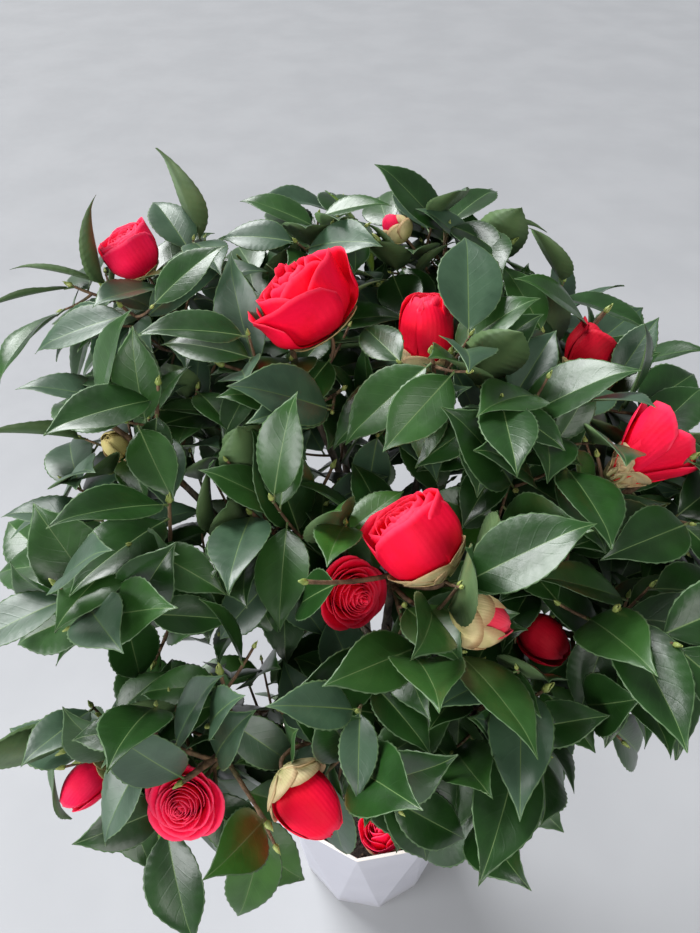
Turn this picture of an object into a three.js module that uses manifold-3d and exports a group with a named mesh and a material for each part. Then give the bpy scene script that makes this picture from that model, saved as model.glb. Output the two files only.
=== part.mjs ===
// Camellia shrub in a faceted planter.
// Millimetres, +Z up, origin at the middle of the planter's flat underside, front towards -Y.

import * as THREE from 'three';
import { mergeVertices } from 'three/addons/utils/BufferGeometryUtils.js';
import Module from 'manifold-3d';

const wasm = await Module();
wasm.setup();

const { degToRad, lerp, clamp } = THREE.MathUtils;
const UP = new THREE.Vector3(0, 0, 1);
const FULL_TURN = 2 * Math.PI;

// Driving sizes of the planter and its soil
const POT_HEIGHT = 330;
const POT_SIDES = 10;
const POT_RIM_RADIUS = 131;
const POT_BASE_RADIUS = 104;
const POT_WALL = 4;
const POT_FLOOR = 5;
const POT_TURN = degToRad(-98.6);
const POT_HALF_STEP = Math.PI / POT_SIDES;
const SOIL_LEVEL = 272;
const SOIL_CROWN = 278;
const SOIL_CROWN_RADIUS = 34;
const SOIL_SHOULDER_RADIUS = 78;

// Room kept between touching pieces, and how near two corners are welded
const CLEARANCE = 0.3;
const WELD_DISTANCE = 1e-3;

// Driving sizes of the trunk and its boughs
const FORK = new THREE.Vector3(4, 6, 396);
const TRUNK_FOOT_RADIUS = 19;
const TRUNK_RADIUS = 12.5;
const TRUNK_TOP_RADIUS = 10;
const FLARE_SHARE = 0.22;
const TRUNK_STEPS = 8;
const TRUNK_SIDES = 12;
const BOUGH_STEPS = 4;
const BOUGH_SIDES = 6;
const MAIN_BOUGH_RADIUS = 6.8;
const SIDE_BOUGH_RADIUS = 4.6;
const BOUGH_TIP_RADIUS = 2.9;
const BOUGH_TAPER = 0.8;
const BOUGH_SPREAD = 0.32;
const BOUGH_CLIMB = 0.58;
const CROWN_CORE = new THREE.Vector3(0, 30, 640);

// How a mass lays out its own stem and its side shoots, as shares of its reach
const STEM_BACK = 0.42;
const STEM_DROP = 0.08;
const STEM_AHEAD = 0.3;
const STEM_RISE = 0.12;
const STEM_BOW = 0.35;
const STEM_STEPS = 3;
const STEM_SIDES = 4;
const STEM_RADIUS = 3.4;
const STEM_TIP_RADIUS = 2.6;
const SIDE_SHOOTS = 4;
const FIRST_SHOOT = 0.14;
const SHOOT_RANGE = 0.66;
const SHOOT_SHORTEST = 0.62;
const SHOOT_LONGEST = 0.8;
const SHOOT_RISE = 0.2;
const SHOOT_WANDER = 0.2;
const SHOOT_LOW_SPREAD = degToRad(78);
const SHOOT_HIGH_SPREAD = degToRad(48);
const SHOOT_SPREAD_WANDER = degToRad(6);
const SHOOT_TRIALS = [1, 0.84, 0.68, 0.52];
const SHOOT_STEPS = 2;
const SHOOT_TEST_POINTS = 8;
const SHOOT_SIDES = 3;
const SHOOT_RADIUS = 2.1;
const SHOOT_TIP_RADIUS = 1.9;
const BLOOM_SHOOT_START = 0.3;
const BLOOM_SHOOT_BOW = 0.45;
const CALYX_SINK = 0.4;
const GOLDEN_TURN = degToRad(137.508);

// Driving sizes of a leaf and of how leaves stand on a shoot
const LEAF_LENGTH = 92;
const LEAF_SMALLEST = 0.84;
const LEAF_LARGEST = 1.1;
const LEAF_WIDTH_RATIO = 0.48;
const LEAF_THICKNESS_RATIO = 0.015;
const LEAF_CURL = 0.17;
const LEAF_FOLD = 0.22;
const LEAF_ROOT_DEPTH = 0.5;
const LEAF_NECK = 0.1;
const LEAF_MIDDLE = 0.36;
const LEAF_STATIONS = [
  { along: 0.26, half: 0.4 },
  { along: 0.6, half: 0.44 },
];
const LEAVES_PER_SHOOT = 4;
const LEAF_SPACING = 11;
const LEAF_SPACING_GROWTH = 0.12;
const LEAF_FIRST_BACK = 2;
const LEAF_BEHIND_BLOOM = 7;
const LEAF_WANDER = 0.25;
const LEAF_TIP_SPREAD = 0.85;
const LEAF_BLOOM_SPREAD = 1.25;
const LEAF_LOW_SPREAD = 1.55;
const LEAF_DROOP = 0.22;
const LEAF_DROOP_GROWTH = 0.05;
const BARE_SHARE = 0.12;
const FACE_ALONG_SHOOT = 0.55;
const FACE_UP = 0.8;

// Room kept round each kind of neighbour when a shoot or a leaf is tried
const SPACE_MARGIN = 0.8;
const LIMB_MARGIN = 2.5;
const BLOOM_MARGIN = 1.5;
const CROSSING_VOLUME = 0.4;

// The shrub is looked at from here, and no leaf stands between here and the middle or calyx of a
// bloom or the near stretch of the planter's rim
const OPEN_SIDE = new THREE.Vector3(-28, -380, 1250);
const SIGHT_LINES = 6;
const SIGHT_SHARE = 0.62;
const SIGHT_TO_CALYX = 0.42;
const OPEN_RIM = { from: -22, to: 78, y: -124, z: 318, step: 20 };
const PARALLEL_LIMIT = 1e-9;

// Driving sizes of a bloom, as shares of its length and of half its width
const BLOOM_LOBES = 4;
const BLOOM_RUFFLE = 0.08;
const BLOOM_RINGS = [
  { height: 0.1, radius: 0.34 },
  { height: 0.34, radius: 0.9 },
  { height: 0.62, radius: 1 },
  { height: 0.88, radius: 0.66 },
];

// Colours
const POT_COLOUR = 0xdfe0e2;
const SOIL_COLOUR = 0x3a2a20;
const BARK_COLOUR = 0x5a4638;
const FOLIAGE_COLOUR = 0x1f4a2a;
const PETAL_COLOUR = 0xd0142c;

// Each mass of foliage: the heart of its space, its reach, the compass turn of its first side
// shoot, and the limb that its own bough leaves, at a share of that limb's length
const MASSES = [
  { name: 'back', from: 'trunk', at: 0.98, heart: [-62, 245, 888], reach: 110, turn: 10 },
  { name: 'left', from: 'trunk', at: 0.86, heart: [-205, 42, 842], reach: 108, turn: 80 },
  { name: 'right', from: 'trunk', at: 0.92, heart: [196, -14, 856], reach: 110, turn: 40 },
  { name: 'front', from: 'trunk', at: 0.97, heart: [4, -92, 846], reach: 104, turn: 150 },
  { name: 'low_left', from: 'trunk', at: 0.74, heart: [-222, -140, 700], reach: 96, turn: 20 },
  { name: 'middle', from: 'front', at: 0.42, heart: [44, 60, 884], reach: 100, turn: 200 },
  { name: 'middle_left', from: 'back', at: 0.55, heart: [-72, 98, 892], reach: 98, turn: 300 },
  { name: 'back_left', from: 'left', at: 0.38, heart: [-205, 176, 890], reach: 106, turn: 120 },
  { name: 'left_front', from: 'left', at: 0.36, heart: [-192, -56, 796], reach: 106, turn: 250 },
  { name: 'low_front_left', from: 'low_left', at: 0.5, heart: [-128, -178, 744], reach: 88, turn: 75 },
  { name: 'low_front', from: 'front', at: 0.3, heart: [-24, -172, 752], reach: 84, turn: 310 },
  { name: 'low_front_right', from: 'right', at: 0.24, heart: [74, -152, 744], reach: 84, turn: 0 },
  { name: 'right_front', from: 'right', at: 0.4, heart: [160, -100, 786], reach: 100, turn: 100 },
  { name: 'right_back', from: 'right', at: 0.55, heart: [172, 126, 878], reach: 108, turn: 330 },
  { name: 'back_right', from: 'back', at: 0.62, heart: [60, 252, 892], reach: 106, turn: 60 },
  { name: 'low_right', from: 'right', at: 0.32, heart: [240, 48, 752], reach: 104, turn: 190 },
  { name: 'low_back_left', from: 'back', at: 0.28, heart: [-168, 236, 776], reach: 104, turn: 230 },
  { name: 'low_back', from: 'back', at: 0.38, heart: [10, 300, 780], reach: 102, turn: 140 },
  { name: 'low_back_right', from: 'right_back', at: 0.3, heart: [186, 222, 776], reach: 104, turn: 300 },
  { name: 'inner_left', from: 'front', at: 0.36, heart: [-92, -22, 812], reach: 86, turn: 45 },
  { name: 'inner_right', from: 'right', at: 0.46, heart: [104, 4, 872], reach: 84, turn: 115 },
];
const SEED_STEP = 7919;

// Each bloom: its mass, its middle, the way it faces, its width and its length from calyx to tip
const BLOOMS = [
  { mass: 'back_left', middle: [-220, 190, 942], faces: [-0.4, 0.1, 0.85], width: 52, length: 44 },
  { mass: 'middle_left', middle: [-61, 94, 953], faces: [-0.5, 0.15, 0.7], width: 86, length: 60 },
  { mass: 'middle', middle: [33, 90, 926], faces: [0, 0.5, 0.86], width: 46, length: 64 },
  { mass: 'back_right', middle: [17, 280, 922], faces: [-0.7, 0.35, 0.6], width: 26, length: 32 },
  { mass: 'right_back', middle: [179, 120, 887], faces: [0.6, 0.3, 0.6], width: 46, length: 44 },
  { mass: 'right', middle: [194, -3, 879], faces: [0.8, 0.35, 0.45], width: 68, length: 60 },
  { mass: 'front', middle: [18, -88, 884], faces: [-0.59, 0.46, 0.67], width: 64, length: 58 },
  { mass: 'front', middle: [-26, -99, 838], faces: [0.5, -0.62, 0.5], width: 56, length: 40 },
  { mass: 'front', middle: [58, -131, 856], faces: [0.95, -0.2, 0.05], width: 34, length: 44 },
  { mass: 'right_front', middle: [117, -106, 790], faces: [0.55, -0.6, 0], width: 38, length: 44 },
  { mass: 'low_left', middle: [-240, -168, 672], faces: [-0.6, -0.6, -0.2], width: 38, length: 46 },
  { mass: 'low_front_left', middle: [-144, -203, 736], faces: [-0.1, -0.65, 0.72], width: 58, length: 34 },
  { mass: 'low_front', middle: [-55, -210, 757], faces: [0.7, -0.67, -0.17], width: 46, length: 56 },
  { mass: 'left', middle: [-223, 42, 851], faces: [-0.1, -0.4, 0.8], width: 24, length: 34 },
];
const FALLEN_BLOOM = { x: 11, y: -90, faces: [-0.45, -0.3, 0.75], width: 50, length: 34 };

function vector(list) {
  return new THREE.Vector3(...list);
}

// A seeded draw of numbers between two limits, the same on every run
function drawer(seed) {
  const multiplier = 1664525;
  const increment = 1013904223;
  const range = 2 ** 32;
  let state = seed;
  return (low, high) => {
    state = (Math.imul(state, multiplier) + increment) >>> 0;
    return low + (high - low) * (state / range);
  };
}

function solidOf(geometry) {
  const bare = geometry.index ? geometry.toNonIndexed() : geometry.clone();
  bare.deleteAttribute('normal');
  bare.deleteAttribute('uv');
  const merged = mergeVertices(bare, WELD_DISTANCE);
  const mesh = new wasm.Mesh({
    numProp: 3,
    vertProperties: new Float32Array(merged.attributes.position.array),
    triVerts: new Uint32Array(merged.index.array),
  });
  return new wasm.Manifold(mesh);
}

function geometryOf(solid) {
  const mesh = solid.getMesh();
  const geometry = new THREE.BufferGeometry();
  geometry.setAttribute('position', new THREE.BufferAttribute(new Float32Array(mesh.vertProperties), 3));
  geometry.setIndex(new THREE.BufferAttribute(new Uint32Array(mesh.triVerts), 1));
  return geometry;
}

// The largest outer body of a solid, its near corners welded: loose scraps go, sealed hollows fill
function wholeBody(solid) {
  const bodies = solidOf(geometryOf(solid)).decompose();
  return bodies.reduce((largest, body) => (body.volume() > largest.volume() ? body : largest));
}

// A closed geometry from points and the flat faces between them
function facetedGeometry(points, faces) {
  const corners = [];
  for (const face of faces) {
    for (let k = 1; k < face.length - 1; k += 1) {
      corners.push(face[0], face[k], face[k + 1]);
    }
  }
  const geometry = new THREE.BufferGeometry().setFromPoints(points);
  geometry.setIndex(corners);
  return geometry;
}

function potRing(radius, height, turn) {
  return Array.from({ length: POT_SIDES }, (_, k) => {
    const angle = turn + k * 2 * POT_HALF_STEP;
    return new THREE.Vector3(radius * Math.cos(angle), radius * Math.sin(angle), height);
  });
}

// The planter's corners at its rim, and at its foot half a step off
function potRings(inset, floor) {
  const shrink = inset / Math.cos(POT_HALF_STEP);
  return [
    ...potRing(POT_RIM_RADIUS - shrink, POT_HEIGHT, POT_TURN),
    ...potRing(POT_BASE_RADIUS - shrink, floor, POT_TURN - POT_HALF_STEP),
  ];
}

// A wall of up and down triangles between a high ring and a low ring, seen from outside
function triangleWall(high, low) {
  const faces = [];
  for (let k = 0; k < POT_SIDES; k += 1) {
    const next = (k + 1) % POT_SIDES;
    faces.push([high + k, low + k, low + next]);
    faces.push([high + k, low + next, high + next]);
  }
  return faces;
}

function turnedRound(faces) {
  return faces.map((face) => face.toReversed());
}

function countFrom(first, count) {
  return Array.from({ length: count }, (_, k) => first + k);
}

function potGeometry() {
  const points = [...potRings(0, 0), ...potRings(POT_WALL, POT_FLOOR)];
  const [rim, foot, innerRim, innerFoot] = countFrom(0, 4).map((k) => k * POT_SIDES);
  const faces = [
    ...triangleWall(rim, foot),
    ...turnedRound(triangleWall(innerRim, innerFoot)),
    ...turnedRound([countFrom(foot, POT_SIDES)]),
    countFrom(innerFoot, POT_SIDES),
  ];
  for (let k = 0; k < POT_SIDES; k += 1) {
    const next = (k + 1) % POT_SIDES;
    faces.push([rim + k, rim + next, innerRim + next, innerRim + k]);
  }
  return facetedGeometry(points, faces);
}

// The soil fills the planter's inside to its level and swells a little round the trunk
function soilSolid() {
  const points = potRings(POT_WALL + 2 * CLEARANCE, POT_FLOOR + CLEARANCE);
  const faces = [
    ...triangleWall(0, POT_SIDES),
    countFrom(0, POT_SIDES),
    ...turnedRound([countFrom(POT_SIDES, POT_SIDES)]),
  ];
  const profile = [
    new THREE.Vector2(0, 0),
    new THREE.Vector2(POT_RIM_RADIUS, 0),
    new THREE.Vector2(POT_RIM_RADIUS, SOIL_LEVEL),
    new THREE.Vector2(SOIL_SHOULDER_RADIUS, SOIL_LEVEL),
    new THREE.Vector2(SOIL_CROWN_RADIUS, SOIL_CROWN),
    new THREE.Vector2(0, SOIL_CROWN),
  ];
  const mound = new THREE.LatheGeometry(profile, 2 * POT_SIDES).rotateX(Math.PI / 2);
  return solidOf(facetedGeometry(points, faces)).intersect(solidOf(mound));
}

// The point at a share of a curve's way from its start, past its control point, to its end
function curvePoint({ start, control, end }, share) {
  const rest = 1 - share;
  return start.clone().multiplyScalar(rest * rest)
    .addScaledVector(control, 2 * rest * share)
    .addScaledVector(end, share * share);
}

function curveHeading({ start, control, end }, share) {
  const first = control.clone().sub(start).multiplyScalar(1 - share);
  return first.addScaledVector(end.clone().sub(control), share).normalize();
}

// A limb is a curve with its points, its headings and its radii at even steps
function makeLimb(start, control, end, radiusAt, steps) {
  const curve = { start, control, end };
  const shares = countFrom(0, steps + 1).map((k) => k / steps);
  return {
    ...curve,
    points: shares.map((share) => curvePoint(curve, share)),
    headings: shares.map((share) => curveHeading(curve, share)),
    radii: shares.map(radiusAt),
  };
}

// Two directions square to a heading and to each other
function squareTo(heading) {
  const side = new THREE.Vector3(1, 0, 0);
  side.addScaledVector(heading, -side.dot(heading)).normalize();
  return { side, across: heading.clone().cross(side) };
}

// The direction at a turn round a heading, spread away from it
function spreadFrom(heading, turn, spread) {
  const { side, across } = squareTo(heading);
  return side.multiplyScalar(Math.cos(turn)).addScaledVector(across, Math.sin(turn))
    .multiplyScalar(Math.sin(spread)).addScaledVector(heading, Math.cos(spread));
}

// A closed tube of flat sides round a limb's points, wider by the given allowance
function limbSolid({ points, headings, radii }, sides, allowance = 0) {
  const corners = [];
  points.forEach((place, k) => {
    const { side, across } = squareTo(headings[k]);
    for (let n = 0; n < sides; n += 1) {
      const angle = (n * FULL_TURN) / sides;
      const spoke = side.clone().multiplyScalar(Math.cos(angle)).addScaledVector(across, Math.sin(angle));
      corners.push(place.clone().addScaledVector(spoke, radii[k] + allowance));
    }
  });
  const last = points.length - 1;
  const faces = [countFrom(0, sides).toReversed(), countFrom(last * sides, sides)];
  for (let k = 0; k < last; k += 1) {
    for (let n = 0; n < sides; n += 1) {
      const next = (n + 1) % sides;
      faces.push([k * sides + n, k * sides + next, (k + 1) * sides + next, (k + 1) * sides + n]);
    }
  }
  return solidOf(facetedGeometry(corners, faces));
}

// The trunk stands flat on the soil, flares at its foot and leans a little to its fork
function trunkLimb() {
  const foot = new THREE.Vector3(0, 0, SOIL_CROWN + CLEARANCE);
  const control = new THREE.Vector3(0, 0, (foot.z + FORK.z) / 2);
  const radiusAt = (share) => {
    const flare = Math.max(0, 1 - share / FLARE_SHARE) ** 2;
    return lerp(TRUNK_RADIUS, TRUNK_TOP_RADIUS, share) + (TRUNK_FOOT_RADIUS - TRUNK_RADIUS) * flare;
  };
  return makeLimb(foot, control, FORK, radiusAt, TRUNK_STEPS);
}

// Where a mass's own stem starts and ends, outward from the crown's core through its heart
function massFrame(mass) {
  const heart = vector(mass.heart);
  const outward = heart.clone().sub(CROWN_CORE).normalize();
  const foot = heart.clone().addScaledVector(outward, -STEM_BACK * mass.reach);
  foot.addScaledVector(UP, -STEM_DROP * mass.reach);
  const tip = heart.clone().addScaledVector(outward, STEM_AHEAD * mass.reach);
  tip.addScaledVector(UP, STEM_RISE * mass.reach);
  return { heart, outward, foot, tip };
}

// A bough climbs steeply from the limb that carries it, then leans out to its mass
function boughLimb(mass, carrier) {
  const { foot } = mass.frame;
  const start = curvePoint(carrier, mass.at);
  const control = start.clone().lerp(foot, BOUGH_SPREAD);
  control.z = lerp(start.z, foot.z, BOUGH_CLIMB);
  const radius = mass.from === 'trunk' ? MAIN_BOUGH_RADIUS : SIDE_BOUGH_RADIUS;
  const radiusAt = (share) => lerp(radius, BOUGH_TIP_RADIUS, share ** BOUGH_TAPER);
  return makeLimb(start, control, foot, radiusAt, BOUGH_STEPS);
}

// True where every point is nearer to this mass's heart than to any other, by the margin
function insideSpace(points, mass) {
  return MASSES.every((other) => {
    if (other === mass) {
      return true;
    }
    const middle = mass.frame.heart.clone().add(other.frame.heart).multiplyScalar(0.5);
    const away = other.frame.heart.clone().sub(mass.frame.heart).normalize();
    return points.every((place) => place.clone().sub(middle).dot(away) < -SPACE_MARGIN);
  });
}

function distanceToSegment(place, start, end) {
  const along = end.clone().sub(start);
  const share = clamp(place.clone().sub(start).dot(along) / along.lengthSq(), 0, 1);
  return place.distanceTo(start.clone().addScaledVector(along, share));
}

function clearOfLimbs(points, limbs) {
  return limbs.every((limb) => limb.points.slice(1).every((end, k) => {
    const room = limb.radii[k] + LIMB_MARGIN;
    return points.every((place) => distanceToSegment(place, limb.points[k], end) >= room);
  }));
}

function clearOfBlooms(points, blooms) {
  return blooms.every((bloom) => points.every((place) => {
    const offset = place.clone().sub(bloom.centre);
    const along = offset.dot(bloom.facing);
    const across = Math.sqrt(Math.max(0, offset.lengthSq() - along * along));
    const high = along / (bloom.length / 2 + BLOOM_MARGIN);
    const wide = across / (bloom.width / 2 + BLOOM_MARGIN);
    return high * high + wide * wide > 1;
  }));
}

// A leaf's frame: where it leaves its shoot, the way it points and the way its face looks
function leafFrame(place, heading, turn, spread, droop) {
  const direction = spreadFrom(heading, turn, spread).addScaledVector(UP, -droop).normalize();
  const normal = heading.clone().multiplyScalar(FACE_ALONG_SHOOT).addScaledVector(UP, FACE_UP);
  normal.addScaledVector(direction, -normal.dot(direction)).normalize();
  return { place, direction, normal, breadth: normal.clone().cross(direction) };
}

// A point of a leaf's blade, which curls down to its tip and folds up to its margins
function bladePoint(frame, length, along, across, drop = 0) {
  const aside = across * length * LEAF_WIDTH_RATIO;
  const height = LEAF_FOLD * Math.abs(aside) - LEAF_CURL * length * along ** 2;
  return frame.place.clone()
    .addScaledVector(frame.direction, along * length)
    .addScaledVector(frame.breadth, aside)
    .addScaledVector(frame.normal, height - drop);
}

// The corners of a blade's outline from its neck round by its tip
function bladeOutline(frame, length) {
  const [low, high] = LEAF_STATIONS;
  return [
    bladePoint(frame, length, LEAF_NECK, 0),
    bladePoint(frame, length, low.along, -low.half),
    bladePoint(frame, length, high.along, -high.half),
    bladePoint(frame, length, 1, 0),
    bladePoint(frame, length, high.along, high.half),
    bladePoint(frame, length, low.along, low.half),
  ];
}

// The triangles and edges that stand for a blade where leaves are tested against each other
function bladeNet(frame, length) {
  const outline = bladeOutline(frame, length);
  const middle = bladePoint(frame, length, LEAF_MIDDLE, 0);
  const nexts = outline.map((_, k) => outline[(k + 1) % outline.length]);
  return {
    corners: [middle, ...outline],
    triangles: outline.map((corner, k) => [middle, corner, nexts[k]]),
    edges: outline.flatMap((corner, k) => [[corner, nexts[k]], [middle, corner]]),
  };
}

// A leaf is a folded six-sided blade whose root is sunk past the middle of its shoot
function leafSolid(frame, length) {
  const outline = bladeOutline(frame, length);
  outline[0] = frame.place.clone().addScaledVector(frame.direction, -LEAF_ROOT_DEPTH);
  const [upper, lower] = [outline.length, outline.length + 1];
  const points = [
    ...outline,
    bladePoint(frame, length, LEAF_MIDDLE, 0),
    bladePoint(frame, length, LEAF_MIDDLE, 0, length * LEAF_THICKNESS_RATIO),
  ];
  const faces = outline.flatMap((_, k) => {
    const next = (k + 1) % outline.length;
    return [[upper, k, next], [lower, next, k]];
  });
  return solidOf(facetedGeometry(points, faces));
}

// True where the edge from start to end passes through the triangle
function pierces([start, end], [a, b, c]) {
  const ray = end.clone().sub(start);
  const ab = b.clone().sub(a);
  const ac = c.clone().sub(a);
  const across = ray.clone().cross(ac);
  const scale = ab.dot(across);
  if (Math.abs(scale) < PARALLEL_LIMIT) {
    return false;
  }
  const offset = start.clone().sub(a);
  const u = offset.dot(across) / scale;
  const lifted = offset.cross(ab);
  const v = ray.dot(lifted) / scale;
  const share = ac.dot(lifted) / scale;
  return u >= 0 && v >= 0 && u + v <= 1 && share >= 0 && share <= 1;
}

function netsCross(one, other) {
  return one.edges.some((edge) => other.triangles.some((triangle) => pierces(edge, triangle)))
    || other.edges.some((edge) => one.triangles.some((triangle) => pierces(edge, triangle)));
}

function netCrossesLimb(net, limb) {
  return limb.points.slice(1).some(
    (end, k) => net.triangles.some((triangle) => pierces([limb.points[k], end], triangle)),
  );
}

// Lines from the open side to each bloom's middle, calyx and sides, and to the near rim
function sightLines(blooms) {
  const lines = [];
  for (const { centre, facing, width, length } of blooms) {
    const { side, across } = squareTo(OPEN_SIDE.clone().sub(centre).normalize());
    const calyx = centre.clone().addScaledVector(facing, -SIGHT_TO_CALYX * length);
    lines.push([centre, OPEN_SIDE], [calyx, OPEN_SIDE]);
    for (let n = 0; n < SIGHT_LINES; n += 1) {
      const angle = (n * FULL_TURN) / SIGHT_LINES;
      const spoke = side.clone().multiplyScalar(Math.cos(angle)).addScaledVector(across, Math.sin(angle));
      lines.push([centre.clone().addScaledVector(spoke, (SIGHT_SHARE * width) / 2), OPEN_SIDE]);
    }
  }
  for (let x = OPEN_RIM.from; x <= OPEN_RIM.to; x += OPEN_RIM.step) {
    lines.push([new THREE.Vector3(x, OPEN_RIM.y, OPEN_RIM.z), OPEN_SIDE]);
  }
  return lines;
}

// A bloom is a ruffled egg: a narrow calyx, a wide middle and a blunt tip
function bloomGeometry({ centre, facing, width, length }) {
  const sides = 2 * BLOOM_LOBES;
  const points = [new THREE.Vector3(0, 0, 0)];
  BLOOM_RINGS.forEach(({ height, radius }, level) => {
    for (let n = 0; n < sides; n += 1) {
      const angle = ((n + level) * FULL_TURN) / sides;
      const ruffle = n % 2 === 0 ? 1 : 1 - BLOOM_RUFFLE;
      const reach = (radius * ruffle * width) / 2;
      points.push(new THREE.Vector3(reach * Math.cos(angle), reach * Math.sin(angle), height * length));
    }
  });
  points.push(new THREE.Vector3(0, 0, length));
  const tip = points.length - 1;
  const lastRing = 1 + (BLOOM_RINGS.length - 1) * sides;
  const faces = [];
  for (let n = 0; n < sides; n += 1) {
    const next = (n + 1) % sides;
    faces.push([0, 1 + next, 1 + n], [lastRing + n, lastRing + next, tip]);
    for (let low = 1; low < lastRing; low += sides) {
      faces.push([low + n, low + next, low + sides + next, low + sides + n]);
    }
  }
  return facetedGeometry(points, faces)
    .translate(0, 0, -length / 2)
    .applyQuaternion(new THREE.Quaternion().setFromUnitVectors(UP, facing))
    .translate(...centre.toArray());
}

// A mass's own stem goes on from its bough's tip, just clear of it
function stemLimb(mass) {
  const start = mass.frame.foot.clone().addScaledVector(mass.arrival, CLEARANCE);
  const control = start.clone().addScaledVector(mass.arrival, STEM_BOW * mass.reach);
  const radiusAt = (share) => lerp(STEM_RADIUS, STEM_TIP_RADIUS, share);
  return makeLimb(start, control, mass.frame.tip, radiusAt, STEM_STEPS);
}

function shootRadiusAt(share) {
  return lerp(SHOOT_RADIUS, SHOOT_TIP_RADIUS, share);
}

// Side shoots leave the stem by the golden turn, lower ones spreading more and higher ones less
function sideShoots(mass, stem, limbs, blooms, draw) {
  const shoots = [];
  for (let k = 0; k < SIDE_SHOOTS; k += 1) {
    const share = k / SIDE_SHOOTS;
    const turn = degToRad(mass.turn) + k * GOLDEN_TURN + draw(-SHOOT_WANDER, SHOOT_WANDER);
    const spread = lerp(SHOOT_LOW_SPREAD, SHOOT_HIGH_SPREAD, share)
      + draw(-SHOOT_SPREAD_WANDER, SHOOT_SPREAD_WANDER);
    const fullLength = mass.reach * draw(SHOOT_SHORTEST, SHOOT_LONGEST);
    const heading = spreadFrom(mass.frame.outward, turn, spread);
    const start = curvePoint(stem, FIRST_SHOOT + SHOOT_RANGE * share);
    for (const shrink of SHOOT_TRIALS) {
      const length = fullLength * shrink;
      const control = start.clone().addScaledVector(heading, length / 2);
      const end = start.clone().addScaledVector(heading, length).addScaledVector(UP, SHOOT_RISE * length);
      const limb = makeLimb(start, control, end, shootRadiusAt, SHOOT_STEPS);
      const free = countFrom(1, SHOOT_TEST_POINTS).map((n) => curvePoint(limb, n / SHOOT_TEST_POINTS));
      if (insideSpace(free, mass) && clearOfLimbs(free, limbs) && clearOfBlooms(free, blooms)) {
        shoots.push({ limb, bloom: null });
        break;
      }
    }
  }
  return shoots;
}

// A shoot bows from the stem to a bloom's calyx and meets it from behind
function bloomShoot(stem, bloom) {
  const start = curvePoint(stem, BLOOM_SHOOT_START);
  const end = bloom.centre.clone().addScaledVector(bloom.facing, -CALYX_SINK * bloom.length);
  const bow = BLOOM_SHOOT_BOW * end.distanceTo(start);
  const control = end.clone().addScaledVector(bloom.facing, -bow);
  return { limb: makeLimb(start, control, end, shootRadiusAt, SHOOT_STEPS + 1), bloom };
}

// The turned, lifted and smaller ways in which a leaf is tried before it is skipped
function leafTrials() {
  const trials = [];
  for (const size of [1, 0.86, 0.72]) {
    for (const lift of [0, -0.3, 0.3]) {
      for (const turn of [0, 0.5, -0.5, 1, -1]) {
        trials.push({ size, lift, turn });
      }
    }
  }
  return trials;
}

// Leaves stand round the outer part of each shoot by the golden turn, closest at its tip
function massLeaves(mass, limbs, blooms, sights, shoots, draw) {
  const leaves = [];
  for (const { limb, bloom } of shoots) {
    const shootLength = limb.start.distanceTo(limb.end);
    const firstTurn = draw(0, FULL_TURN);
    const tipSpread = bloom ? LEAF_BLOOM_SPREAD : LEAF_TIP_SPREAD;
    for (let k = 0; k < LEAVES_PER_SHOOT; k += 1) {
      const fullLength = LEAF_LENGTH * draw(LEAF_SMALLEST, LEAF_LARGEST);
      const turn = firstTurn + k * GOLDEN_TURN + draw(-LEAF_WANDER, LEAF_WANDER);
      const spread = lerp(tipSpread, LEAF_LOW_SPREAD, k / (LEAVES_PER_SHOOT - 1));
      const droop = LEAF_DROOP + LEAF_DROOP_GROWTH * k;
      const tipRoom = bloom ? LEAF_BEHIND_BLOOM : LEAF_FIRST_BACK;
      const back = tipRoom + k * LEAF_SPACING * (1 + LEAF_SPACING_GROWTH * k);
      const share = 1 - back / shootLength;
      if (share > BARE_SHARE) {
        const place = curvePoint(limb, share);
        const heading = curveHeading(limb, share);
        const fitted = leafTrials().map((trial) => {
          const frame = leafFrame(place, heading, turn + trial.turn, spread + trial.lift, droop);
          return { frame, length: fullLength * trial.size };
        }).find(({ frame, length }) => {
          const net = bladeNet(frame, length);
          return insideSpace(net.corners, mass) && clearOfLimbs(net.corners, limbs)
            && clearOfBlooms(net.corners, blooms)
            && !shoots.some((shoot) => netCrossesLimb(net, shoot.limb))
            && !limbs.some((bough) => netCrossesLimb(net, bough))
            && !sights.some((line) => net.triangles.some((triangle) => pierces(line, triangle)))
            && !leaves.some((leaf) => netsCross(net, bladeNet(leaf.frame, leaf.length)));
        });
        if (fitted) {
          leaves.push(fitted);
        }
      }
    }
  }
  return leaves;
}

// A mass is one body: its stem, its shoots, its blooms and each leaf that crosses nothing in it
function foliageSolid(mass, limbs, blooms, sights, draw) {
  const stem = stemLimb(mass);
  const ownBlooms = blooms.filter((bloom) => bloom.mass === mass.name);
  const shoots = [
    { limb: stem, bloom: null },
    ...sideShoots(mass, stem, limbs, blooms, draw),
    ...ownBlooms.map((bloom) => bloomShoot(stem, bloom)),
  ];
  let solid = limbSolid(stem, STEM_SIDES);
  for (const { limb } of shoots.slice(1)) {
    solid = solid.add(limbSolid(limb, SHOOT_SIDES));
  }
  for (const bloom of ownBlooms) {
    solid = solid.add(solidOf(bloomGeometry(bloom)));
  }
  for (const { frame, length } of massLeaves(mass, limbs, blooms, sights, shoots, draw)) {
    const leaf = leafSolid(frame, length);
    if (solid.intersect(leaf).volume() < CROSSING_VOLUME) {
      solid = solid.add(leaf);
    }
  }
  return wholeBody(solid);
}

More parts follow.
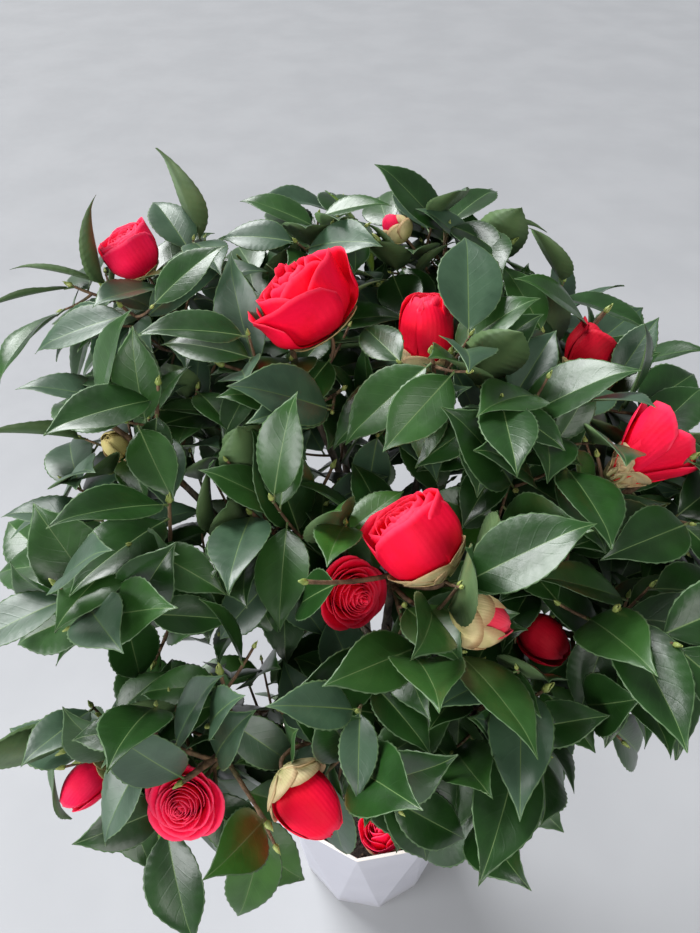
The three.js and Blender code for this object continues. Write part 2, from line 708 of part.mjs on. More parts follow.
// The bloom that has dropped inside the planter lies on the soil
function fallenBloomGeometry() {
  const { x, y, faces, width, length } = FALLEN_BLOOM;
  const centre = new THREE.Vector3(x, y, SOIL_LEVEL + length);
  const geometry = bloomGeometry({ centre, facing: vector(faces).normalize(), width, length });
  geometry.computeBoundingBox();
  geometry.translate(0, 0, SOIL_LEVEL + CLEARANCE - geometry.boundingBox.min.z);
  geometry.computeBoundingSphere();
  return geometry;
}

function namedMesh(name, geometry, colour, roughness) {
  const material = new THREE.MeshStandardMaterial({ color: colour, roughness, metalness: 0 });
  const mesh = new THREE.Mesh(geometry, material);
  mesh.name = name;
  return mesh;
}

const shrub = new THREE.Group();
shrub.add(namedMesh('pot', potGeometry(), POT_COLOUR, 0.55));
shrub.add(namedMesh('soil', geometryOf(soilSolid()), SOIL_COLOUR, 0.95));
const fallen = fallenBloomGeometry();
shrub.add(namedMesh('fallen_bloom', fallen, PETAL_COLOUR, 0.6));

const limbsByName = new Map([['trunk', trunkLimb()]]);
const trunk = limbSolid(limbsByName.get('trunk'), TRUNK_SIDES);
shrub.add(namedMesh('trunk', geometryOf(trunk), BARK_COLOUR, 0.85));
for (const mass of MASSES) {
  mass.frame = massFrame(mass);
  const limb = boughLimb(mass, limbsByName.get(mass.from));
  mass.arrival = curveHeading(limb, 1);
  let bough = limbSolid(limb, BOUGH_SIDES);
  for (const other of limbsByName.values()) {
    bough = bough.subtract(limbSolid(other, TRUNK_SIDES, CLEARANCE));
  }
  limbsByName.set(mass.name, limb);
  shrub.add(namedMesh(`bough_${mass.name}`, geometryOf(wholeBody(bough)), BARK_COLOUR, 0.85));
}

const limbs = [...limbsByName.values()];
const blooms = BLOOMS.map((bloom) => (
  { ...bloom, centre: vector(bloom.middle), facing: vector(bloom.faces).normalize() }
));
const sights = sightLines([
  ...blooms,
  { ...FALLEN_BLOOM, centre: fallen.boundingSphere.center, facing: UP },
]);
MASSES.forEach((mass, number) => {
  const solid = foliageSolid(mass, limbs, blooms, sights, drawer(SEED_STEP * (number + 1)));
  shrub.add(namedMesh(`foliage_${mass.name}`, geometryOf(solid), FOLIAGE_COLOUR, 0.4));
});

export default shrub;
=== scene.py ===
import math
from itertools import product

import bmesh
import bpy
import numpy as np
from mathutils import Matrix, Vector, noise


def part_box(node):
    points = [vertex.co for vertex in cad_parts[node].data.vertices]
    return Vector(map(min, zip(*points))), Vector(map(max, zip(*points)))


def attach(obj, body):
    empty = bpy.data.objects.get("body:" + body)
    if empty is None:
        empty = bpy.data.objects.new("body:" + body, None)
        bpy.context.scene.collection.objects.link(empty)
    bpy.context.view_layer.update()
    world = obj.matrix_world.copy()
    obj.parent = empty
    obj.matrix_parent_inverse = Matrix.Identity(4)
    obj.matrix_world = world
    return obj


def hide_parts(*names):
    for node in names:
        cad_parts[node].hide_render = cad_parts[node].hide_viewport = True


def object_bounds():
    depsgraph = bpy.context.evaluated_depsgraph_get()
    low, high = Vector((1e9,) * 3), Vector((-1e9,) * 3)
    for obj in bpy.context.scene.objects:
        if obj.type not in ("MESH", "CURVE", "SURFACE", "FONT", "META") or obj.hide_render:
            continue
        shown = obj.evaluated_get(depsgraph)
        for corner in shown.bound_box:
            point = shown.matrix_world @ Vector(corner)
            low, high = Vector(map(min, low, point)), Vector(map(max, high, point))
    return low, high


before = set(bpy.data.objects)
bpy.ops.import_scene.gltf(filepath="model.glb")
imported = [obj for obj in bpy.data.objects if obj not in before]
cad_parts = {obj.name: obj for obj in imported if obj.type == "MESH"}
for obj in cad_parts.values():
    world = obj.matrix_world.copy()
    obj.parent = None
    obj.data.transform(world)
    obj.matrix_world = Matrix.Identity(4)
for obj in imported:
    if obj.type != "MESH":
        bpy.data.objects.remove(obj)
cad_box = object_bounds()

# The plant is grown in millimetres by the rule that its solids follow, and each mesh is scaled to
# metres when it is made.
METRE = 0.001
UP = np.array([0.0, 0.0, 1.0])
FULL_TURN = 2 * math.pi
GOLDEN_TURN = math.radians(137.508)

# Trunk and boughs
SOIL_LEVEL, SOIL_CROWN, SOIL_CROWN_RADIUS, SOIL_SHOULDER_RADIUS = 272, 278, 34, 78
CLEARANCE = 0.3
FORK = np.array([4.0, 6.0, 396.0])
TRUNK_FOOT_RADIUS, TRUNK_RADIUS, TRUNK_TOP_RADIUS, FLARE_SHARE = 19, 12.5, 10, 0.22
TRUNK_STEPS, BOUGH_STEPS = 8, 4
MAIN_BOUGH_RADIUS, SIDE_BOUGH_RADIUS, BOUGH_TIP_RADIUS, BOUGH_TAPER = 6.8, 4.6, 2.9, 0.8
BOUGH_SPREAD, BOUGH_CLIMB = 0.32, 0.58
CROWN_CORE = np.array([0.0, 30.0, 640.0])

# A mass's own stem and its side shoots, as shares of its reach
STEM_BACK, STEM_DROP, STEM_AHEAD, STEM_RISE, STEM_BOW, STEM_STEPS = 0.42, 0.08, 0.3, 0.12, 0.35, 3
STEM_RADII, SHOOT_RADII, TWIG_RADII = (3.0, 2.0), (1.9, 1.3), (1.4, 1.0)
SIDE_SHOOTS, FIRST_SHOOT, SHOOT_RANGE = 4, 0.14, 0.66
SHOOT_SHORTEST, SHOOT_LONGEST, SHOOT_RISE, SHOOT_WANDER = 0.62, 0.8, 0.2, 0.2
SHOOT_LOW_SPREAD, SHOOT_HIGH_SPREAD = math.radians(78), math.radians(48)
SHOOT_SPREAD_WANDER = math.radians(6)
SHOOT_TRIALS = (1, 0.84, 0.68, 0.52)
SHOOT_STEPS, BLOOM_SHOOT_STEPS, SHOOT_TEST_POINTS = 2, 3, 8
BLOOM_SHOOT_START, BLOOM_SHOOT_BOW, CALYX_SINK = 0.3, 0.45, 0.4

# Leaves: how they stand on a shoot. A leaf that doesn't fit tries other sizes, lifts and turns.
LEAF_LENGTH, LEAF_SMALLEST, LEAF_LARGEST, LEAF_WIDTH_RATIO = 92, 0.84, 1.1, 0.48
LEAF_CURL, LEAF_FOLD, LEAF_NECK, LEAF_MIDDLE = 0.17, 0.22, 0.1, 0.36
LEAF_STATIONS = ((0.26, 0.4), (0.6, 0.44))
LEAVES_PER_SHOOT, LEAF_SPACING, LEAF_SPACING_GROWTH = 4, 11, 0.12
LEAF_FIRST_BACK, LEAF_BEHIND_BLOOM, LEAF_WANDER = 2, 7, 0.25
LEAF_TIP_SPREAD, LEAF_BLOOM_SPREAD, LEAF_LOW_SPREAD = 0.85, 1.25, 1.55
LEAF_DROOP, LEAF_DROOP_GROWTH, BARE_SHARE = 0.22, 0.05, 0.12
FACE_ALONG_SHOOT, FACE_UP = 0.55, 0.8
LEAF_TRIALS = list(product((1, 0.86, 0.72), (0, -0.3, 0.3), (0, 0.5, -0.5, 1, -1)))
SPACE_MARGIN, LIMB_MARGIN, BLOOM_MARGIN, TINY = 0.8, 2.5, 1.5, 1e-9

# No leaf stands between the open side and a bloom's middle or calyx, or the near stretch of the rim
OPEN_SIDE = np.array([-28.0, -380.0, 1250.0])
SIGHT_LINES, SIGHT_SHARE, SIGHT_TO_CALYX = 6, 0.62, 0.42
OPEN_RIM_FROM, OPEN_RIM_TO, OPEN_RIM_STEP, OPEN_RIM_Y, OPEN_RIM_Z = -22, 78, 20, -124, 318

# Places on the ground that show past the crown or through it from the open side, each with the reach
# of what shows. The dressed plant's leaves leave them open, and its finer leaves the blooms' rims too.
OPEN_GROUND = (
    (-214, 346, 30), (-203, 253, 30), (-318, 331, 18), (-119, 880, 25), (99, 793, 20),
    (-585, 267, 54), (-665, 277, 46), (-513, 257, 34), (-909, 1053, 76), (-842, 827, 60),
    (-524, -51, 70), (-590, 72, 41), (-432, -65, 48), (-247, -72, 16), (405, 81, 59),
    (453, -22, 72), (311, -37, 55), (538, 106, 42), (-1141, 2178, 131), (-996, 2405, 106),
    (-526, 2323, 60), (728, 2314, 72), (877, 1960, 94), (1050, 1874, 99), (-199, 2599, 60),
    (1, 2539, 50), (356, 2599, 77), (596, 2640, 86), (-484, 2682, 87), (63, 2905, 91),
    (-655, 237, 53), (-530, 316, 31),
)
BLOOM_RIM_LINES, BLOOM_RIM_SHARE = 10, 0.96

# Finer twigs, which only the dressed plant carries: where they stand on a shoot, how far they reach,
# how far their leaves may cross into the next mass's space, and how far past the solids' own box
TWIG_SHARES = [0.3 + 0.24 * n for n in range(3)]
TWIG_SHORTEST, TWIG_LONGEST, TWIG_SPREAD = 26, 50, 0.95
TWIG_LEAVES, TWIG_LEAF_SHARE, TWIG_OVERREACH, NEAR_LEAVES = 4, 0.94, 16, 190
BOUGH_TWIG_SHARES, BOUGH_TWIG_CLEAR, BOUGH_TWIG_LENGTH = (0.5, 0.64, 0.78, 0.92), 3, 1.3
PLANT_MARGIN = 6

# Each mass: name, the limb that carries it, the share of that limb's length, heart, reach, turn
MASSES = (
    ("back", "trunk", 0.98, (-62, 245, 888), 110, 10),
    ("left", "trunk", 0.86, (-205, 42, 842), 108, 80),
    ("right", "trunk", 0.92, (196, -14, 856), 110, 40),
    ("front", "trunk", 0.97, (4, -92, 846), 104, 150),
    ("low_left", "trunk", 0.74, (-222, -140, 700), 96, 20),
    ("middle", "front", 0.42, (44, 60, 884), 100, 200),
    ("middle_left", "back", 0.55, (-72, 98, 892), 98, 300),
    ("back_left", "left", 0.38, (-205, 176, 890), 106, 120),
    ("left_front", "left", 0.36, (-192, -56, 796), 106, 250),
    ("low_front_left", "low_left", 0.5, (-128, -178, 744), 88, 75),
    ("low_front", "front", 0.3, (-24, -172, 752), 84, 310),
    ("low_front_right", "right", 0.24, (74, -152, 744), 84, 0),
    ("right_front", "right", 0.4, (160, -100, 786), 100, 100),
    ("right_back", "right", 0.55, (172, 126, 878), 108, 330),
    ("back_right", "back", 0.62, (60, 252, 892), 106, 60),
    ("low_right", "right", 0.32, (240, 48, 752), 104, 190),
    ("low_back_left", "back", 0.28, (-168, 236, 776), 104, 230),
    ("low_back", "back", 0.38, (10, 300, 780), 102, 140),
    ("low_back_right", "right_back", 0.3, (186, 222, 776), 104, 300),
    ("inner_left", "front", 0.36, (-92, -22, 812), 86, 45),
    ("inner_right", "right", 0.46, (104, 4, 872), 84, 115),
)
SEED_STEP = 7919
DRAW_FACTOR, DRAW_STEP, DRAW_RANGE = 1664525, 1013904223, 2**32

# Each bloom: mass, middle, the way it faces, width, length, form, petal finish, sepal finish
BLOOMS = (
    ("back_left", (-220, 190, 942), (-0.4, 0.1, 0.85), 52, 44, "rose", "rose_red", "green"),
    ("middle_left", (-61, 94, 953), (-0.5, 0.15, 0.7), 86, 60, "open", "crimson", "green"),
    ("middle", (33, 90, 926), (0, 0.5, 0.86), 46, 64, "barrel", "crimson", "tan"),
    ("back_right", (17, 280, 922), (-0.7, 0.35, 0.6), 26, 32, "bud", "rose_red", "cream"),
    ("right_back", (179, 120, 887), (0.6, 0.3, 0.6), 46, 44, "rose", "dark_red", "green"),
    ("right", (194, -3, 879), (0.8, 0.35, 0.45), 68, 60, "cone", "scarlet", "tan"),
    ("front", (18, -88, 884), (-0.59, 0.46, 0.67), 64, 58, "rose", "crimson", "tan"),
    ("front", (-26, -99, 838), (0.5, -0.62, 0.5), 56, 40, "formal", "crimson", "tan"),
    ("front", (58, -131, 856), (0.95, -0.2, 0.05), 34, 44, "bud", "blush", "cream"),
    ("right_front", (117, -106, 790), (0.55, -0.6, 0), 38, 44, "bud", "dark_red", "green"),
    ("low_left", (-240, -168, 672), (-0.6, -0.6, -0.2), 38, 46, "bud", "rose_red", "green"),
    ("low_front_left", (-144, -203, 736), (-0.1, -0.65, 0.72), 58, 34, "formal", "rose_red", "green"),
    ("low_front", (-55, -210, 757), (0.7, -0.67, -0.17), 46, 56, "bud", "crimson", "tan"),
    ("left", (-223, 42, 851), (-0.1, -0.4, 0.8), 24, 34, "bud", "withered", "tan"),
)

# The bloom on the soil: where it lies, its width and length, and its middle over its solid's underside
FALLEN_BLOOM, FALLEN_LIE = ((11, -90), 50, 34), 23


# Numbers and directions


def unit(vector):
    return vector / np.linalg.norm(vector)


def lerp(low, high, share):
    return low + (high - low) * share


class Drawer:
    """Numbers between two limits from a seed, the same as the solids draw."""

    def __init__(self, seed):
        self.state = seed

    def __call__(self, low, high):
        self.state = (self.state * DRAW_FACTOR + DRAW_STEP) % DRAW_RANGE
        return low + (high - low) * (self.state / DRAW_RANGE)


def square_to(heading):
    """Two directions square to a heading and to each other."""
    side = np.array([1.0, 0.0, 0.0])
    side = unit(side - heading * side.dot(heading))
    return side, np.cross(heading, side)


def spoke(heading, turn):
    """The direction square to a heading at a turn round it."""
    side, across = square_to(heading)
    return side * math.cos(turn) + across * math.sin(turn)


def spread_from(heading, turn, spread):
    """The direction at a turn round a heading, spread away from it."""
    return spoke(heading, turn) * math.sin(spread) + heading * math.cos(spread)


def taper(thick, thin):
    """A radius that falls evenly along a limb."""

    def radius_at(share):
        return lerp(thick, thin, share)

    return radius_at


class Limb:
    """A curve from its start, drawn towards a control point, to its end, with its radius."""

    def __init__(self, start, control, end, radius_at, steps):
        self.start, self.control, self.end = start, control, end
        self.radius_at = radius_at
        shares = [k / steps for k in range(steps + 1)]
        self.points = np.array([self.point(share) for share in shares])
        self.radii = np.array([radius_at(share) for share in shares])

    def point(self, share):
        rest = 1 - share
        return rest * rest * self.start + 2 * rest * share * self.control + share * share * self.end

    def heading(self, share):
        return unit((1 - share) * (self.control - self.start) + share * (self.end - self.control))

    def span(self):
        return np.linalg.norm(self.end - self.start)


# The plant's limbs


def trunk_limb():
    foot = np.array([0.0, 0.0, SOIL_CROWN + CLEARANCE])
    control = np.array([0.0, 0.0, (foot[2] + FORK[2]) / 2])

    def radius_at(share):
        flare = max(0, 1 - share / FLARE_SHARE) ** 2
        return lerp(TRUNK_RADIUS, TRUNK_TOP_RADIUS, share) + (TRUNK_FOOT_RADIUS - TRUNK_RADIUS) * flare

    return Limb(foot, control, FORK, radius_at, TRUNK_STEPS)


class Mass:
    """One mass of foliage: its own space round its heart, and the stem's foot and tip in it."""

    def __init__(self, number, row):
        self.number = number
        self.name, self.carrier, self.at, heart, self.reach, turn = row
        self.heart = np.array(heart, float)
        self.turn = math.radians(turn)
        self.outward = unit(self.heart - CROWN_CORE)
        self.foot = self.heart - STEM_BACK * self.reach * self.outward - STEM_DROP * self.reach * UP
        self.tip = self.heart + STEM_AHEAD * self.reach * self.outward + STEM_RISE * self.reach * UP
        self.draw = Drawer(SEED_STEP * (number + 1))

    def bough(self, carrier):
        start = carrier.point(self.at)
        control = lerp(start, self.foot, BOUGH_SPREAD)
        control[2] = lerp(start[2], self.foot[2], BOUGH_CLIMB)
        thick = MAIN_BOUGH_RADIUS if self.carrier == "trunk" else SIDE_BOUGH_RADIUS

        def radius_at(share):
            return lerp(thick, BOUGH_TIP_RADIUS, share**BOUGH_TAPER)

        return Limb(start, control, self.foot, radius_at, BOUGH_STEPS)

    def stem(self, arrival):
        start = self.foot + CLEARANCE * arrival
        control = start + STEM_BOW * self.reach * arrival
        return Limb(start, control, self.tip, taper(*STEM_RADII), STEM_STEPS)


class Bloom:
    """A bloom's place, size, form and finishes."""

    def __init__(self, mass, middle, faces, width, length, form, petal, sepal):
        self.mass, self.width, self.length, self.form = mass, width, length, form
        self.centre, self.facing = np.array(middle, float), unit(np.array(faces, float))
        self.petal, self.sepal = petal, sepal


masses = [Mass(number, row) for number, row in enumerate(MASSES)]
limbs = {"trunk": trunk_limb()}
for mass in masses:
    limbs[mass.name] = mass.bough(limbs[mass.carrier])
blooms = [Bloom(*row) for row in BLOOMS]

LIMB_STARTS = np.concatenate([limb.points[:-1] for limb in limbs.values()])
LIMB_ENDS = np.concatenate([limb.points[1:] for limb in limbs.values()])
LIMB_ROOM = np.concatenate([limb.radii[:-1] for limb in limbs.values()]) + LIMB_MARGIN
BLOOM_CENTRES = np.array([bloom.centre for bloom in blooms])
BLOOM_FACINGS = np.array([bloom.facing for bloom in blooms])
BLOOM_HIGH = np.array([bloom.length / 2 + BLOOM_MARGIN for bloom in blooms])
BLOOM_WIDE = np.array([bloom.width / 2 + BLOOM_MARGIN for bloom in blooms])
HEARTS = np.array([mass.heart for mass in masses])


def lines_to(rings, count):
    """Lines from the open side to each ring's middle and to the ring, which looks that way."""
    lines = []
    for centre, reach in rings:
        view = unit(OPEN_SIDE - centre)
        ring = [centre + spoke(view, n * FULL_TURN / count) * reach for n in range(count)]
        lines += [(spot, OPEN_SIDE) for spot in (centre, *ring)]
    return lines


def sight_lines():
    """Lines from the open side to each bloom's middle, calyx and sides, and to the near rim."""
    fallen = np.mean([list(corner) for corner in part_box("fallen_bloom")], axis=0) / METRE
    shown = [(bloom.centre, bloom.facing, bloom.width, bloom.length) for bloom in blooms]
    shown.append((fallen, UP, *FALLEN_BLOOM[1:]))
    lines = []
    for centre, facing, width, length in shown:
        lines += lines_to([(centre, SIGHT_SHARE * width / 2)], SIGHT_LINES)
        lines.append((centre - SIGHT_TO_CALYX * length * facing, OPEN_SIDE))
    for x in range(OPEN_RIM_FROM, OPEN_RIM_TO + 1, OPEN_RIM_STEP):
        lines.append((np.array([x, OPEN_RIM_Y, OPEN_RIM_Z], float), OPEN_SIDE))
    return np.array(lines)


# What no leaf may cross: boughs and lines of sight, and for finer leaves also the lines to the open
# ground and to the rims of the blooms
GROUND_RINGS = [
    (np.array([x, y, 0.0]), reach / part) for x, y, reach in OPEN_GROUND for part in (1, 2)
]
BLOOM_RIMS = [(bloom.centre, BLOOM_RIM_SHARE * bloom.width / 2) for bloom in blooms]
BARRED = np.concatenate([np.stack([LIMB_STARTS, LIMB_ENDS], axis=1), sight_lines()])
TO_OPEN_GROUND = np.array(lines_to(GROUND_RINGS, SIGHT_LINES))
BARRED_TO_FINER = np.concatenate([BARRED, TO_OPEN_GROUND, lines_to(BLOOM_RIMS, BLOOM_RIM_LINES)])


# Room for shoots and leaves


def inside_space(points, mass, overreach=0):
    """True where every point is nearer to its own mass's heart than to the others'."""
    others = np.delete(HEARTS, mass.number, axis=0)
    middles = (others + mass.heart) / 2
    aways = others - mass.heart
    aways /= np.linalg.norm(aways, axis=1)[:, None]
    beyond = ((points[:, None] - middles) * aways).sum(-1)
    return bool((beyond < overreach - SPACE_MARGIN).all())


def within_plant(points):
    """True where no point passes the solids' own box by more than a little."""
    low, high = np.array(cad_box) / METRE
    return bool(((points > low - PLANT_MARGIN) & (points < high + PLANT_MARGIN)).all())


def clear_of_limbs(points):
    """True where no point stands in the trunk or a bough, or close to it."""
    along = LIMB_ENDS - LIMB_STARTS
    offset = points[:, None] - LIMB_STARTS
    share = np.clip((offset * along).sum(-1) / (along * along).sum(-1), 0, 1)
    distance = np.linalg.norm(offset - share[..., None] * along, axis=-1)
    return bool((distance >= LIMB_ROOM).all())


def clear_of_blooms(points):
    """True where no point stands in a bloom or close to it."""
    offset = points[:, None] - BLOOM_CENTRES
    along = (offset * BLOOM_FACINGS).sum(-1)
    across = np.sqrt(np.maximum(0, (offset * offset).sum(-1) - along * along))
    return bool(((along / BLOOM_HIGH) ** 2 + (across / BLOOM_WIDE) ** 2 > 1).all())


def before_bloom(points):
    """True where any point stands between the open side and a bloom."""
    rays = points[:, None] - OPEN_SIDE
    share = ((BLOOM_CENTRES - OPEN_SIDE) * rays).sum(-1) / (rays * rays).sum(-1)
    passing = OPEN_SIDE + rays * share[..., None]
    miss = np.linalg.norm(BLOOM_CENTRES - passing, axis=-1)
    return bool(((miss < BLOOM_WIDE) & (share > 1)).any())


def pierced(edges, triangles):
    """True where any edge passes through any triangle."""
    start, ray = edges[:, None, 0], edges[:, None, 1] - edges[:, None, 0]
    a = triangles[None, :, 0]
    ab, ac = triangles[None, :, 1] - a, triangles[None, :, 2] - a
    across = np.cross(ray, ac)
    scale = (ab * across).sum(-1)
    flat = np.abs(scale) < TINY
    scale = np.where(flat, 1, scale)
    offset = start - a
    u = (offset * across).sum(-1) / scale
    lifted = np.cross(offset, ab)
    v = (ray * lifted).sum(-1) / scale
    share = (ac * lifted).sum(-1) / scale
    within = (u >= 0) & (v >= 0) & (u + v <= 1) & (share >= 0) & (share <= 1)
    return bool((within & ~flat).any())


class Leaf:
    """A leaf's place, the way it points, the way its face looks and its length."""

    def __init__(self, place, heading, turn, spread, droop, length):
        self.place, self.length = place, length
        self.direction = unit(spread_from(heading, turn, spread) - droop * UP)
        normal = FACE_ALONG_SHOOT * heading + FACE_UP * UP
        self.normal = unit(normal - self.direction * normal.dot(self.direction))
        self.breadth = np.cross(self.normal, self.direction)

    def blade_point(self, along, across):
        aside = across * self.length * LEAF_WIDTH_RATIO
        height = LEAF_FOLD * abs(aside) - LEAF_CURL * self.length * along**2
        out = self.place + along * self.length * self.direction
        return out + aside * self.breadth + height * self.normal

    def fit(self):
        """The corners, edges and triangles that stand for the blade in the tests."""
        low, high = LEAF_STATIONS
        outline = [
            self.blade_point(along, across) for along, across in (
                (LEAF_NECK, 0), (low[0], -low[1]), (high[0], -high[1]), (1, 0), high, low,
            )
        ]
        middle = self.blade_point(LEAF_MIDDLE, 0)
        nexts = outline[1:] + outline[:1]
        self.corners = np.array([middle, *outline])
        self.triangles = np.array([[middle, a, b] for a, b in zip(outline, nexts)])
        self.edges = np.array(
            [edge for a, b in zip(outline, nexts) for edge in ((a, b), (middle, a))]
        )
        return self


def straight_shoot(start, heading, length, radii):
    """A shoot that rises a little from its heading towards its tip."""
    end = start + heading * length + UP * SHOOT_RISE * length
    return Limb(start, start + heading * length / 2, end, taper(*radii), SHOOT_STEPS)


def side_shoots(mass, stem):
    shoots = []
    for k in range(SIDE_SHOOTS):
        share = k / SIDE_SHOOTS
        turn = mass.turn + k * GOLDEN_TURN + mass.draw(-SHOOT_WANDER, SHOOT_WANDER)
        spread = lerp(SHOOT_LOW_SPREAD, SHOOT_HIGH_SPREAD, share)
        spread += mass.draw(-SHOOT_SPREAD_WANDER, SHOOT_SPREAD_WANDER)
        full_length = mass.reach * mass.draw(SHOOT_SHORTEST, SHOOT_LONGEST)
        heading = spread_from(mass.outward, turn, spread)
        start = stem.point(FIRST_SHOOT + SHOOT_RANGE * share)
        for shrink in SHOOT_TRIALS:
            limb = straight_shoot(start, heading, full_length * shrink, SHOOT_RADII)
            if shoot_fits(limb, mass):
                shoots.append((limb, None))
                break
    return shoots


def shoot_fits(limb, mass):
    shares = [n / SHOOT_TEST_POINTS for n in range(1, SHOOT_TEST_POINTS + 1)]
    free = np.array([limb.point(share) for share in shares])
    return inside_space(free, mass) and clear_of_limbs(free) and clear_of_blooms(free)


def bloom_shoot(stem, bloom):
    start = stem.point(BLOOM_SHOOT_START)
    end = bloom.centre - CALYX_SINK * bloom.length * bloom.facing
    bow = BLOOM_SHOOT_BOW * np.linalg.norm(end - start)
    limb = Limb(start, end - bow * bloom.facing, end, taper(*SHOOT_RADII), BLOOM_SHOOT_STEPS)
    return limb, bloom


def fitting_leaf(mass, wood, placed, place, heading, turn, spread, droop, full_length, overreach):
    """The first turned, lifted or smaller leaf that stays in its space and crosses nothing."""
    edges, triangles = placed
    for size, lift, aside in LEAF_TRIALS:
        leaf = Leaf(place, heading, turn + aside, spread + lift, droop, full_length * size).fit()
        if not (inside_space(leaf.corners, mass, overreach) and clear_of_limbs(leaf.corners)):
            continue
        if not clear_of_blooms(leaf.corners) or pierced(wood, leaf.triangles):
            continue
        if overreach and not within_plant(leaf.corners):
            continue
        if pierced(leaf.edges, triangles) or pierced(edges, leaf.triangles):
            continue
        return leaf
    return None


def lines_along(shoots):
    """The straight lengths that make up some shoots."""
    return [np.stack([limb.points[:-1], limb.points[1:]], axis=1) for limb, _ in shoots]


def grow_leaves(mass, shoots, wood, others, per_shoot, size_share, overreach=0):
    """Leaves stand round the outer part of each shoot by the golden turn, closest at its tip."""
    draw = mass.draw
    leaves = []
    edges = np.concatenate([np.empty((0, 2, 3)), *(leaf.edges for leaf in others)])
    triangles = np.concatenate([np.empty((0, 3, 3)), *(leaf.triangles for leaf in others)])
    for limb, bloom in shoots:
        first_turn = draw(0, FULL_TURN)
        tip_spread = LEAF_BLOOM_SPREAD if bloom else LEAF_TIP_SPREAD
        for k in range(per_shoot):
            full_length = LEAF_LENGTH * size_share * draw(LEAF_SMALLEST, LEAF_LARGEST)
            turn = first_turn + k * GOLDEN_TURN + draw(-LEAF_WANDER, LEAF_WANDER)
            spread = lerp(tip_spread, LEAF_LOW_SPREAD, k / (per_shoot - 1))
            back = LEAF_BEHIND_BLOOM if bloom else LEAF_FIRST_BACK
            back += k * LEAF_SPACING * (1 + LEAF_SPACING_GROWTH * k) * size_share
            share = 1 - back / limb.span()
            if share <= BARE_SHARE:
                continue
            leaf = fitting_leaf(
                mass, wood, (edges, triangles), limb.point(share), limb.heading(share),
                turn, spread, LEAF_DROOP + LEAF_DROOP_GROWTH * k, full_length, overreach,
            )
            if leaf:
                leaf.spray = limb
                leaf.order = k
                leaves.append(leaf)
                edges = np.concatenate([edges, leaf.edges])
                triangles = np.concatenate([triangles, leaf.triangles])
    return leaves


def twigs_round(limb, shares, size, draw):
    """Short straight twigs that stand round a limb by the golden turn."""
    first_turn = draw(0, FULL_TURN)
    for n, share in enumerate(shares):
        length = size * draw(TWIG_SHORTEST, TWIG_LONGEST)
        heading = spread_from(limb.heading(share), first_turn + n * GOLDEN_TURN, TWIG_SPREAD)
        yield straight_shoot(limb.point(share), heading, length, TWIG_RADII)


def finer_twigs(mass):
    """Twigs that only the dressed plant carries, on a mass's shoots and the end of its bough."""
    twigs = []
    for limb, _ in mass.shoots:
        for twig in twigs_round(limb, TWIG_SHARES, 1, mass.draw):
            if shoot_fits(twig, mass) and not before_bloom(twig.points):
                twigs.append((twig, None))
    for twig in twigs_round(limbs[mass.name], BOUGH_TWIG_SHARES, BOUGH_TWIG_LENGTH, mass.draw):
        steps = range(BOUGH_TWIG_CLEAR, SHOOT_TEST_POINTS + 1)
        free = np.array([twig.point(step / SHOOT_TEST_POINTS) for step in steps])
        if clear_of_limbs(free) and clear_of_blooms(free) and not before_bloom(free):
            twigs.append((twig, None))
    return twigs


def grow(mass):
    """A mass's stem, shoots and leaves, as its solid has them."""
    stem = mass.stem(limbs[mass.name].heading(1))
    flowering = [bloom_shoot(stem, bloom) for bloom in blooms if bloom.mass == mass.name]
    mass.shoots = [(stem, None), *side_shoots(mass, stem), *flowering]
    wood = np.concatenate([*lines_along(mass.shoots), BARRED])
    mass.leaves = grow_leaves(mass, mass.shoots, wood, [], LEAVES_PER_SHOOT, 1)


def grow_finer(mass):
    """Finer twigs and their leaves, which keep clear of every leaf near them."""
    mass.twigs = finer_twigs(mass)
    near = [
        leaf for other in masses for leaf in other.leaves
        if np.linalg.norm(leaf.place - mass.heart) < NEAR_LEAVES
    ]
    shoots = [shoot for other in masses for shoot in other.shoots]
    wood = np.concatenate([*lines_along(shoots + mass.twigs), BARRED_TO_FINER])
    mass.leaves += grow_leaves(
        mass, mass.twigs, wood, near, TWIG_LEAVES, TWIG_LEAF_SHARE, TWIG_OVERREACH
    )


def open_gaps(mass):
    """Leaves that stand before open ground are left out, with the side shoots that they leave bare."""
    mass.leaves = [leaf for leaf in mass.leaves if not pierced(TO_OPEN_GROUND, leaf.triangles)]
    stem, *side = mass.shoots
    leafy = [leaf.spray for leaf in mass.leaves]
    mass.shoots = [stem, *((limb, bloom) for limb, bloom in side if bloom or limb in leafy)]


for stage in (grow, open_gaps, grow_finer):
    for mass in masses:
        stage(mass)


# Meshes from arrays


def quads(a, b, c, d):
    """Two triangles for each four corners."""
    return np.concatenate([np.stack([a, b, c], 1), np.stack([a, c, d], 1)])


def grid_faces(rows, columns, round_columns=False):
    """Triangles over a grid of points, row by row, closed round its columns where asked."""
    spans = columns if round_columns else columns - 1
    row, column = np.meshgrid(np.arange(rows - 1), np.arange(spans), indexing="ij")
    row, column = row.ravel(), column.ravel()
    a, b = row * columns + column, row * columns + (column + 1) % columns
    return quads(a, b, b + columns, a + columns)


